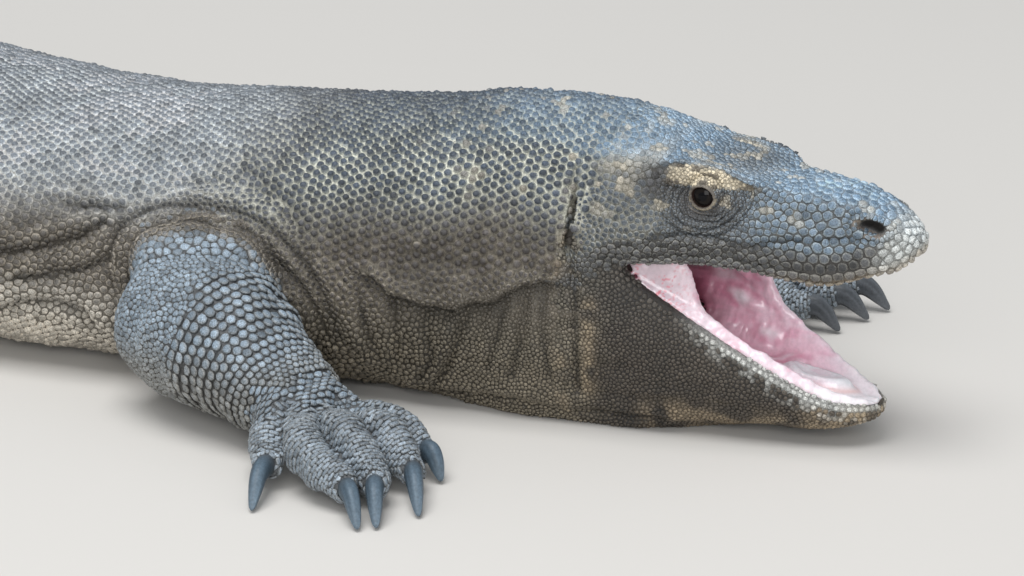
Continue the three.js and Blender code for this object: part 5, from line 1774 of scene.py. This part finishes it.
    @staticmethod
    def rings() -> Rows:
        """Lay rings of small scales round the eyes and nostrils."""
        batches = []
        for side in Side:
            for place, lean, circles in (
                ((EYE_CENTRE[0], 37.5, EYE_CENTRE[2]), 0.0, ((8.9, 8.2, 1.5), (10.6, 9.8, 1.7), (12.5, 11.6, 1.9))),
                (Face.nostril, -0.24, ((10.6, 6.0, 3.0), (14.2, 9.4, 3.8))),
            ):
                for wide, tall, size in circles:
                    count = int(np.pi * (wide + tall) / size)
                    turn = np.arange(count) * 2 * np.pi / count
                    u, v = wide * np.cos(turn), tall * np.sin(turn)
                    middle = np.column_stack([
                        place[0] + u - lean * v, np.full(count, place[1] * side.value), place[2] + v + lean * u])
                    lie = np.column_stack([-np.sin(turn), np.zeros(count), np.cos(turn)])
                    unwrap = np.column_stack([(middle[:, 0] + 120) / 200, across_sides(middle)])
                    batches.append(Rows(middle, lie, size * 1.25, size * 1.25, size * 0.26, unwrap, 0.0))
        return Rows.gathered(batches)


class Pitch:
    """The wanted sizes of the mosaics' scales at each place."""

    @staticmethod
    def throat(points: Array) -> Array:
        """Sizes on the jaw and throat."""
        x, _, z = points.T
        near_rim = smoothstep(16, 5, Skull.rim_height(x) - z) * (x > -100)
        return 2.25 + 0.9 * near_rim + 1.2 * smoothstep(-150, -235, x)

    @staticmethod
    def head(points: Array) -> Array:
        """Sizes on the head."""
        x, y, z = points.T
        away = np.abs(y)
        pitch = 4.1 - 0.6 * smoothstep(24, 14, away) * smoothstep(-5, -30, x)
        pitch += (5.4 - pitch) * smoothstep(-8, 18, x)
        pitch += (4.2 - pitch) * smoothstep(52, 66, x)
        dx, dz = x - EYE_CENTRE[0], z - EYE_CENTRE[2]
        over = dz - Face.brow(dx)
        around = smoothstep(34, 22, np.hypot(dx - 2, dz * 1.1)) * smoothstep(1.5, -1.5, over) * (away > 20)
        pitch += (1.85 - pitch) * around
        ridge = smoothstep(6, 1, np.abs(over - 2)) * smoothstep(-38, -28, dx) * smoothstep(44, 36, dx)
        pitch += (2.9 - pitch) * ridge * 0.8
        folds = smoothstep(6, 2, np.abs(z - 118)) * smoothstep(-8, -28, x) * (away > 25)
        pitch += (3.0 - pitch) * folds * 0.7
        return pitch + (2.6 - pitch) * smoothstep(-96, -112, x) * smoothstep(158, 145, z) * 0.9

    @staticmethod
    def flank(points: Array) -> Array:
        """Sizes on the sides of the neck and shoulders."""
        x, _, z = points.T
        folds = np.min([fold.reach(points) for fold in FOLDS if fold.depth > 1.9], axis=0)
        pitch = 4.3 + 0.6 * smoothstep(-300, -420, x) - 1.2 * bell(folds, 9)
        over = z - DRAPES[0].edge(x)
        pitch += (3.0 - pitch) * bell(over, 9) * smoothstep(-240, -225, x)
        return pitch + (2.4 - pitch) * smoothstep(-136, -122, x)

    @staticmethod
    def dome(points: Array) -> Array:
        """Sizes on the elbow's dome: small at the crease, a band of larger beads, then small and growing again."""
        away = FOLDS[SHOULDER_ARC].reach(points)
        grow = smoothstep(-325, -270, points[:, 0])
        band = 2.3 * bell(np.maximum(np.abs(away - 18) - 4, 0), 4) * (away < 1e2)
        return 3.2 + band + 1.4 * grow * smoothstep(30, 50, away)


@dataclass
class Mosaic:
    """A close-packed pavement of scales, without rows."""

    skin: Skin
    rounds: int = 7

    def rows(self, inside: Callable[[Array, Array], Array], pitch: Callable[[Array], Array], fixed: Array,
             high: float = 0.26, density: float = 2.4) -> Rows:
        """Spread scales over a region and even them out.

        Args:
            inside: tells which places, with their labels, belong to the region.
            pitch: gives the wanted sizes at places.
            fixed: places of scales that already lie there.
            high: the scales' height against their size.
            density: how many samples stand for each square millimetre.

        Returns:
            The scales, each sized to fill its own cell.
        """
        dice = np.random.default_rng(11)
        sheet = self.skin.sheet
        faces = sheet.faces[inside(sheet.points, self.skin.labels)[sheet.faces].any(1)]
        sample, area = scattered(sheet, faces, density, dice)
        sample = sample[(sample[:, 2] > 1.0) & Face.clear_of(sample)]
        fixed = fixed[np.all((fixed > sample.min(0) - 9) & (fixed < sample.max(0) + 9), axis=1)]
        wanted = pitch(sample)
        middles = sample[spread_out(sample, wanted * 0.80, fixed)]
        weight = wanted**-4.0
        for turn in range(self.rounds + 1):
            everything = np.vstack([middles, fixed])
            tree = searcher(everything)
            owner = np.array([tree.find(p)[1] for p in sample.tolist()])
            if turn < self.rounds:
                mass = np.bincount(owner, weight, len(everything))[:len(middles)]
                total = np.stack([np.bincount(owner, weight * sample[:, k], len(everything)) for k in range(3)], -1)
                held = mass > 0
                middles = (total[:len(middles)][held]) / mass[held][:, None]
        number = np.bincount(owner, minlength=len(everything))[:len(middles)]
        size = np.sqrt(number / (len(sample) / area) * 1.15)
        size = np.minimum(size, pitch(middles) * 1.2)
        ahead = np.tile((1.0, 0.0, 0.0), (len(middles), 1)) + (0, 0, -0.2)
        ahead[middles[:, 0] > 62] = (0.3, 0.0, 1.0)
        unwrap = np.column_stack([(middles[:, 0] + 440) / 520, across_sides(middles)])
        rows = Rows(middles, ahead, size * 1.35, size * 1.25, np.clip(size * high, 0.35, 1.5), unwrap, 0.06)
        return rows.take(number > 3)


@dataclass
class Hide:
    """All the hide: the skin and the scales over it."""

    skin: Skin = field(default_factory=Skin)

    flesh = ("head", "lower_jaw", "neck", "chest", "belly", "hips", *(f"tail_{i}" for i in range(1, 7)),
             "upper_arm_r", "forearm_r", "hand_r", "upper_arm_l", "forearm_l", "hand_l",
             "thigh_r", "shin_r", "foot_r", "thigh_l", "shin_l", "foot_l")

    def build(self) -> None:
        """Make the skin, then every piece of the coat."""
        self.skin.build()
        dressed(self.skin.piece, SKIN_FINISH, list(self.flesh))
        coat = Coat(self.skin)
        self.head(coat)
        for limb in LIMBS:
            self.limb(coat, limb)
        self.neck(coat)
        for name, start, stop, form in (
            ("coat_nape", 96, 300, Form.NUB),
            ("coat_shoulders", 300, 430, Form.NUB),
            ("coat_chest", 430, 620, Form.NUB),
            ("coat_belly", 620, 860, Form.STUD),
            ("coat_hips", 860, 1200, Form.GRAIN),
            ("coat_tail", 1200, Trunk.end - 3, Form.GRAIN),
        ):
            coat.add(name, form, Trimming.trunk(start, stop), Zone.trunk)
        coat.fill()
        coat.finish()

    def head(self, coat: Coat) -> None:
        """Cover the head and the lower jaw."""
        paving = Mosaic(self.skin)
        coat.add("coat_head", Form.BEAD, Trimming.rings(), (Part.HEAD.value,), 0.0)
        coat.add("coat_head", Form.BEAD, Trimming.lips(True), (Part.HEAD.value,), 0.6)
        rows = paving.rows(Zone.head, Pitch.head, coat.middles("coat_head"), 0.25, 3.2)
        coat.add("coat_head", Form.BEAD, rows, Zone.head, 0.3)
        coat.add("coat_jaw", Form.GRAIN, Trimming.lips(False), (Part.JAW.value,), 0.0)
        coat.add("coat_jaw", Form.GRAIN, paving.rows(Zone.jaw, Pitch.throat, coat.middles("coat_jaw")), Zone.jaw, 0.3)

    def neck(self, coat: Coat) -> None:
        """Cover the throat, the loose skin of the neck's sides and the shoulders."""
        paving = Mosaic(self.skin)
        laid = coat.middles("coat_head", "coat_jaw", "coat_arm_r", "coat_arm_l")
        coat.add("coat_throat", Form.GRAIN, paving.rows(Zone.throat, Pitch.throat, laid), Zone.throat, 0.3)
        laid = np.vstack([laid, coat.middles("coat_throat")])
        rows = paving.rows(Zone.flank, Pitch.flank, laid, 0.32, 1.5)
        rows.long, rows.wide = rows.long * 1.15, rows.wide * 1.15
        coat.add("coat_neck", Form.PEBBLE, rows, Zone.flank, 0.3)

    def limb(self, coat: Coat, limb: LimbPlan) -> None:
        """Cover one limb."""
        tubes, value = limb.tubes(), limb.part.value
        name = f"coat_{limb.suffix}"
        form = Form.PLATE if limb.is_arm else Form.GRAIN
        for i, digit in enumerate(limb.digits):
            rows = Trimming.limb(self.skin, limb.cuffed(digit), Guide((0, 2.9), (1, 2.4)), 2.2, 1.6, high=1.0,
                                 corner=(0.02 + 0.19 * i, 0.0), extent=0.18)
            rows.boxed = np.full(len(rows.middle), True)
            coat.add(name, form, rows, (value + Length.DIGITS.value,), 0.42)
        palm = Trimming.limb(self.skin, tubes[Length.PALM][0], Guide((0, 3.6), (1, 3.0)), 1.6, 1.6, high=1.0,
                             corner=(0.0, 0.2), extent=0.22)
        coat.add(name, form, palm, (value + Length.PALM.value,), 0.5)
        lower = tubes[Length.LOWER][0]
        if limb.is_arm:
            pitch = Guide((0, 3.6), (0.3, 4.4), (0.55, 6.3), (0.75, 5.8), (0.9, 4.2), (1, 3.5))
            dome = Zone.dome(limb)
            rows = Trimming.limb(self.skin, lower, pitch, 1.0, 1.9, high=1.2, corner=(0.24, 0.22), extent=0.75)
            coat.add(name, form, rows, lambda on, labels: (labels == value + 1) & ~dome(on, labels))
            rows = Mosaic(self.skin).rows(dome, Pitch.dome, coat.middles(name), 0.25, 1.6)
            coat.add(name, form, rows, dome, 0.3)
        else:
            pitch = Guide((0, 5.6), (0.35, 6.6), (0.7, 6.0), (0.88, 4.4), (1, 3.6))
            rows = Trimming.limb(self.skin, lower, pitch, 1.0, 1.6, fan=40, high=1.3, corner=(0.24, 0.22), extent=0.36)
            coat.add(name, form, rows, (value + 1,))
            rows = Trimming.limb(self.skin, tubes[Length.UPPER][0], Guide((0, 7), (1, 6.6)), 1.0, 1.5, high=1.4,
                                 corner=(0.62, 0.22), extent=0.36)
            coat.add(name, form, rows, (value,))


# ---- Eyes, claws and mouth ----
class Eyes:
    """The two eyeballs: a near-black iris and pupil in a thin reddish ring."""

    def build(self) -> None:
        """Make both eyeballs."""
        for side, suffix in ((Side.RIGHT, "r"), (Side.LEFT, "l")):
            centre = np.array((EYE_CENTRE[0], EYE_CENTRE[1] * side.value, EYE_CENTRE[2]))
            bpy.ops.object.select_all(action="DESELECT")
            bpy.ops.mesh.primitive_uv_sphere_add(segments=64, ring_count=48, radius=EYE_RADIUS / 1000,
                                                 location=tuple(to_frame(centre)),
                                                 rotation=(math.pi / 2 * -side.value * 0.92, 0, 0))
            ball = bpy.context.active_object
            ball.name = f"eyeball_{suffix}"
            bpy.ops.object.transform_apply(location=True, rotation=True, scale=True)
            bpy.ops.object.shade_smooth()
            points = Sheet.of(ball).points - centre
            gaze = unit(np.array((0.12, side.value, 0.08)))
            off = np.linalg.norm(points - (points @ gaze)[:, None] * gaze, axis=1)
            tint = np.tile(np.array((0.004, 0.004, 0.005)), (len(points), 1))
            tint = mixed(tint, (0.010, 0.008, 0.007), smoothstep(2.2, 3.0, off))
            tint = mixed(tint, (0.005, 0.004, 0.004), smoothstep(4.2, 4.7, off))
            tint = mixed(tint, (0.020, 0.011, 0.009), smoothstep(5.4, 5.7, off))
            paint(ball.data, tint)
            dressed(ball, EYE_FINISH, [f"eye_{suffix}"])


@dataclass(frozen=True)
class Claws:
    """The claws of one limb: hooked horns, ridged along their length."""

    limb: LimbPlan
    width = Guide((0, 5.4), (0.35, 5.3), (0.65, 4.5), (0.88, 2.9), (0.97, 1.7), (1, 0.7))
    height = Guide((0, 6.9), (0.35, 6.7), (0.65, 5.0), (0.88, 2.7), (0.97, 1.6), (1, 0.6))
    # The colours of a horn's base, shaft and worn tip; the worn colour also paints a highlight along the upper side.
    blue = ((0.075, 0.085, 0.095), (0.080, 0.118, 0.155), (0.17, 0.225, 0.275))
    grey = ((0.075, 0.085, 0.095), (0.085, 0.095, 0.108), (0.17, 0.18, 0.195))

    def build(self) -> None:
        """Make the claws as one piece."""
        surfaces, tints = [], []
        dark = self.limb.cuff > 0.3
        stout = 1.06 if dark else 0.96
        for digit in self.limb.digits:
            tube = Tube(self.limb.claw_path(digit), self.width, self.height)
            rings = tube.rings(36, 24)
            share = np.linspace(0, 1, 37)[:, None] * np.ones((1, 24))
            turn = full_turn(24)[None, :] * np.ones((37, 1))
            middle = rings.mean(1, keepdims=True)
            ridges = 1 + (0.022 * np.cos(9 * turn) + 0.015 * np.cos(5 * turn + 1)) * (1 - share)
            rings = middle + (rings - middle) * (stout * ridges)[..., None]
            surfaces.append(lofted(rings))
            base, shaft, worn = (np.array(tone) for tone in (self.grey if dark else self.blue))
            tint = base + (shaft - base) * smoothstep(0.12, 0.5, share)[..., None]
            # Paler towards the worn tip, and paler again along the upper side, a painted highlight.
            tint = tint + (worn - tint) * (smoothstep(0.45, 1.0, share) * (0.3 + 0.4 * (np.sin(turn) > 0.3)))[..., None]
            grain = np.stack([np.cos(turn).ravel() * 2.6, np.sin(turn).ravel() * 2.6, share.ravel() * 2], -1)
            streak = 1 + 0.6 * speckle(grain, 1.0, 3)
            tints.append(tint.reshape(-1, 3) * streak[:, None])
        points, sizes, corners = joined(surfaces)
        points[:, 2] = np.maximum(points[:, 2], 0.2)
        piece = mesh_piece(f"claws_{self.limb.suffix}", points, sizes, corners, np.vstack(tints))
        nodes = [f"claw_{self.limb.suffix}_{i}" for i in range(1, 6)]
        dressed(piece, HORN_FINISH, nodes)


@dataclass
class Mouth:
    """The wet lining: the floor with its gums and the tongue's sheath, the roof, the throat and the cheek webs."""

    voxel: float = 0.0011
    web_thickness: float = 4.8
    # Folds that fan out of the throat: each one's start, end, height and breadth.
    ridges = (((-78, 8, 56), (-24, 14, 37), 3.6, 2.8), ((-80, 16, 62), (-26, 24, 43), 4.0, 2.6),
              ((-80, 24, 72), (-30, 30, 54), 3.6, 2.6), ((-74, 28, 86), (-34, 34, 70), 3.0, 2.4),
              ((-40, 0, 40), (-14, 20, 33), 2.6, 2.0), ((-28, 0, 36), (-4, 22, 31), 2.2, 1.7))
    lift = Guide((-104, 0), (-92, -3), (-60, 4), (-40, 6.5), (0, 7), (25, 5.5), (40, 3), (47.5, 1))

    def floor_half(self, x: float) -> Array:
        """Give the outline on one side of the mouth's floor, from its middle over the gum's ridge and under."""
        wall = Skull.trough_wall(x)
        trough, rim, width = wall[0][1], float(Skull.rim_height(x)), float(Skull.rim_width(x))
        top = max(float(Skull.pad_height(x)), trough + 2.2)
        crest = max(min(rim + float(self.lift(x)), float(Skull.lip_height(x)) - 6), top + 0.8)
        across = max(width - 6.5, width * 0.6)
        outer = max(width - 2.6, across + 0.8)
        high = crest - top
        return np.array([
            (0.0, top + 1.5),
            (across * 0.34, top + 0.5),
            (across * 0.60, top - 0.3),
            (across * 0.78, top + high * 0.30),
            (across * 0.90, top + high * 0.80),
            (across, crest),
            (across + (outer - across) * 0.55, crest - (crest - rim) * 0.35),
            (outer, max(rim + 0.6, crest - 6.5)),
            (outer - 0.8, rim - 1.2),
            (wall[1][0] + 1.0, (wall[1][1] + rim) / 2 - 1.5),
            (wall[0][0] * 0.8, trough - 0.8),
            (0.0, trough - 0.8),
        ], float)

    def web(self, side: Side) -> Array:
        """Give rings for the stretched web of one mouth corner, with its free edge hollowed."""
        rings = []
        reach_top, reach_low, hollow = (35, 60, -7.0) if side is Side.RIGHT else (52, 76, -5.0)
        for share in np.linspace(0, 1, 32):
            bow = share**1.5
            x_top, x_low = -91 + reach_top * share, -91 + reach_low * share
            top = np.array((x_top, Skull.lip_width(x_top) - 4.4, Skull.lip_height(x_top) + 0.5))
            low = np.array((x_low, Skull.rim_width(x_low) - 4.9, Skull.rim_height(x_low) + 1.0))
            row = []
            for t in np.linspace(0, 1, 14):
                sag = np.array((hollow * bow, -1.4, 0)) * math.sin(math.pi * t)
                row.append(top + (low - top) * t + sag)
            outer = np.array(row)
            inner = (outer - (0, self.web_thickness, 0))[::-1]
            rings.append(np.vstack([outer, inner]) * (1, side.value, 1))
        return np.array(rings)

    @classmethod
    def pleats(cls, points: Array) -> tuple[Array, Array]:
        """Give how far the folds lift each place, and how far it lies in the furrows beside them."""
        flat = mirrored(points)
        lift, furrow = np.zeros(len(points)), np.zeros(len(points))
        for start, stop, high, broad in cls.ridges:
            a, b = np.array(start, float), np.array(stop, float)
            t = np.clip((flat - a) @ (b - a) / ((b - a) @ (b - a)), 0, 1)
            apart = np.linalg.norm(flat - a - t[:, None] * (b - a), axis=1) + 1.2 * speckle(points, 8, 57)
            strength = 0.3 + 0.7 * np.sin(np.pi * np.clip(t, 0.06, 0.94))
            lift += high * bell(apart, broad) * strength
            furrow = np.maximum(furrow, bell(apart - 2.0 * broad, 0.8 * broad) * strength)
        return lift, furrow

    def build(self) -> None:
        """Join, soften, fold and colour the lining."""
        floor = across_head(np.concatenate([np.arange(-104, 40, 2.5), np.arange(40, 47.6, 1.2)]), self.floor_half)
        roof = across_head(np.arange(-100, 58, 3.0), Skull.palate_half)
        surfaces = [lofted(floor), lofted(roof)] + [lofted(self.web(side)) for side in Side]
        bpy.ops.object.select_all(action="DESELECT")
        piece = mesh_piece("mouth_tissue", *joined(surfaces))
        modified(piece, "REMESH", mode="VOXEL", voxel_size=self.voxel)
        sheet = Sheet.of(piece)
        sheet.smooth(12, np.where((np.abs(sheet.points[:, 1]) > 28) & (sheet.points[:, 0] < -18), 0.12, 0.5))
        points = sheet.points
        x, y, z = points.T
        away = np.abs(y)
        outward = sheet.normals()
        up = smoothstep(0.0, 0.4, outward[:, 2])
        low = z < Skull.rim_height(x) + self.lift(x) + 3
        web = smoothstep(-30, -44, x) * smoothstep(31, 36, away)
        # The tongue's sheath in front, folds across the floor and bumps along the gums.
        oval = np.hypot((x - 8) / 22, (y - 4) / 9.5)
        sheath = 4.6 * smoothstep(1.1, 0.75, oval) - 2.6 * smoothstep(0.75, 0.3, oval) - 1.3 * bell(oval - 1.3, 0.2)
        push = low * up * sheath
        slack = (1 - web) * smoothstep(18, -12, x) * smoothstep(0.95, 0.7, away / np.maximum(Skull.rim_width(x) - 4, 1))
        push += (slack * 0.7 * speckle(points * (0.9, 0.12, 0.5), 1.7, 51)
                 + slack * 1.4 * speckle(points * (0.2, 0.6, 0.8), 4.0, 56))
        push += slack * 2.6 * speckle(points * (0.35, 0.6, 0.5), 10.0, 54)
        push += (1 - web) * 1.8 * speckle(points * (1.0, 0.5, 0.3), 7.0, 52) * smoothstep(0, -60, x)
        lift, _ = self.pleats(points)
        push += lift * (1 - web)
        push += 2.0 * smoothstep(-60, -70, x) * smoothstep(27, 32, away) * smoothstep(84, 72, z) * low
        gum = smoothstep(0.72, 0.85, away / np.maximum(Skull.rim_width(x) - 3, 1)) * low * smoothstep(-70, -50, x)
        push += gum * (1.0 * speckle(points, 4.5, 53) + 0.5 * speckle(points, 2.2, 55))
        seam = bell(away - (Skull.rim_width(x) - 11.0), 1.3)
        push -= low * up * seam * smoothstep(-70, -40, x) * smoothstep(44, 34, x)
        sheet.points = points + outward * push[:, None]
        sheet.smooth(2, 0.4)
        sheet.write(piece)
        paint(piece.data, self.tint(sheet.points))
        smoothed(piece)
        dressed(piece, MOUTH_FINISH, ["mouth_floor", "palate", "cheek_web_r", "cheek_web_l"])

    @staticmethod
    def tint(points: Array) -> Array:
        """Give the lining's colours: pale gums and webs, a pink floor and a deep red throat darkened by painted shade,
        with painted highlights on the folds and at the front.
        """
        x, y, z = points.T
        away = np.abs(y)
        tint = np.tile(np.array((0.92, 0.70, 0.79)), (len(points), 1))
        tint = mixed(tint, (0.90, 0.56, 0.67), smoothstep(20, -25, x) * smoothstep(30, 20, away) * 0.6)
        # The deep red throat, its darkness partly painted shade deep in the mouth.
        deep = smoothstep(-44, -76, x) * smoothstep(42, 32, away)
        tint = mixed(tint, (0.34, 0.07, 0.13), deep * 0.9)
        web = smoothstep(-30, -44, x) * smoothstep(31, 36, away)
        tint = mixed(tint, (0.58, 0.47, 0.52), web * 0.9)
        gum = smoothstep(0.74, 0.88, away / np.maximum(Skull.rim_width(x) - 3, 1)) * smoothstep(-70, -45, x)
        tint = mixed(tint, (0.92, 0.76, 0.83), gum * 0.8)
        # Near white at the front: the pale gums, brightened further by a painted wet highlight.
        tint = mixed(tint, (0.99, 0.93, 0.97), smoothstep(6, 26, x) * 0.95)
        oval = np.hypot((x - 8) / 22, (y - 4) / 9.5)
        sheath = smoothstep(1.15, 0.8, oval) * (z < Skull.rim_height(x) + 6)
        tint = mixed(tint, (0.88, 0.92, 0.95), sheath * 0.85)
        tint = mixed(tint, (0.85, 0.50, 0.46), bell(oval - 1.1, 0.10) * (z < Skull.rim_height(x) + 6) * 0.6)
        veins = smoothstep(0.2, 0.65, speckle(points * (0.25, 1, 1), 3.0, 61)) * smoothstep(30, -10, x) * (1 - web)
        tint = mixed(tint, (0.84, 0.42, 0.56), veins * 0.5)
        # Painted highlight along the tops of the folds, and painted shade in the furrows beside them.
        lift, furrow = Mouth.pleats(points)
        tint = mixed(tint, (0.97, 0.93, 0.97), np.clip(lift / 2.4, 0, 1) * (1 - web) * 0.8)
        tint = mixed(tint, (0.66, 0.24, 0.36), furrow * (1 - web) * smoothstep(12, -10, x) * 0.75)
        pale = smoothstep(0.2, 0.7, speckle(points, 7, 63)) * (1 - deep)
        tint = mixed(tint, (0.96, 0.86, 0.92), pale * 0.45)
        crowd = smoothstep(-40, -80, x) * smoothstep(-0.6, 0.3, speckle(points, 10, 64))
        dots = smoothstep(0.30, 0.42, speckle(points, 1.1, 62)) * web * crowd
        return mixed(tint, (0.66, 0.05, 0.10), dots * 0.9)


# ---- Setting ----
@dataclass(frozen=True)
class Studio:
    """The floor, the light and the camera."""

    azimuth: float = 26.0
    elevation: float = 20.0
    distance: float = 2.6
    lens: float = 163.2
    aim: tuple[float, float] = (-0.1613, 0.0784)

    def build(self) -> None:
        """Make the setting."""
        bpy.ops.object.select_all(action="DESELECT")
        bpy.ops.mesh.primitive_plane_add(size=14, location=(0, 0, 0))
        floor = bpy.context.active_object
        floor.name = "studio_floor"
        pale = bpy.data.materials.new("studio_floor")
        pale.use_nodes = True
        set_inputs(pale.node_tree.nodes["Principled BSDF"], Base_Color=(0.62, 0.60, 0.57, 1), Roughness=0.9)
        floor.data.materials.append(pale)
        self.camera()
        self.lights()

    def camera(self) -> None:
        """Place the camera."""
        a, e = math.radians(self.azimuth), math.radians(self.elevation)
        back = Vector((math.sin(a) * math.cos(e), -math.cos(a) * math.cos(e), math.sin(e)))
        right = Vector((math.cos(a), math.sin(a), 0))
        up = back.cross(right)
        aim = Vector(to_frame(np.zeros(3))) + right * self.aim[0] + up * self.aim[1]
        data = bpy.data.cameras.new("camera")
        data.lens = self.lens
        data.sensor_width = 36
        data.clip_end = 50
        camera = bpy.data.objects.new("camera", data)
        bpy.context.scene.collection.objects.link(camera)
        camera.location = aim + back * self.distance
        camera.rotation_euler = (-back).to_track_quat("-Z", "Y").to_euler()
        bpy.context.scene.camera = camera

    def lights(self) -> None:
        """Place the lamps and set the sky's level."""
        for name, place, aim, size, power in (
            ("key", (0.5, -1.0, 4.4), (0.3, 0.0, 0.1), 3.0, 165.0),
            ("fill", (2.0, -2.7, 1.3), (0.95, 0.0, 0.08), 1.6, 42.0),
        ):
            lamp = bpy.data.lights.new(name, "AREA")
            lamp.size = size
            lamp.energy = power
            holder = bpy.data.objects.new(name, lamp)
            bpy.context.scene.collection.objects.link(holder)
            holder.location = place
            holder.rotation_euler = (Vector(aim) - Vector(place)).to_track_quat("-Z", "Y").to_euler()
        world = bpy.data.worlds.new("sky")
        bpy.context.scene.world = world
        world.use_nodes = True
        set_inputs(world.node_tree.nodes["Background"], Color=(0.90, 0.95, 1.0, 1), Strength=0.42)
        bpy.context.scene.view_settings.view_transform = "Standard"


def main() -> None:
    """Build the animal and its setting in order."""
    logging.basicConfig(level=logging.INFO, format="%(message)s")
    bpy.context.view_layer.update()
    Hide().build()
    Mouth().build()
    Eyes().build()
    for limb in LIMBS:
        Claws(limb).build()
    Studio().build()


if __name__ == "__main__":
    main()
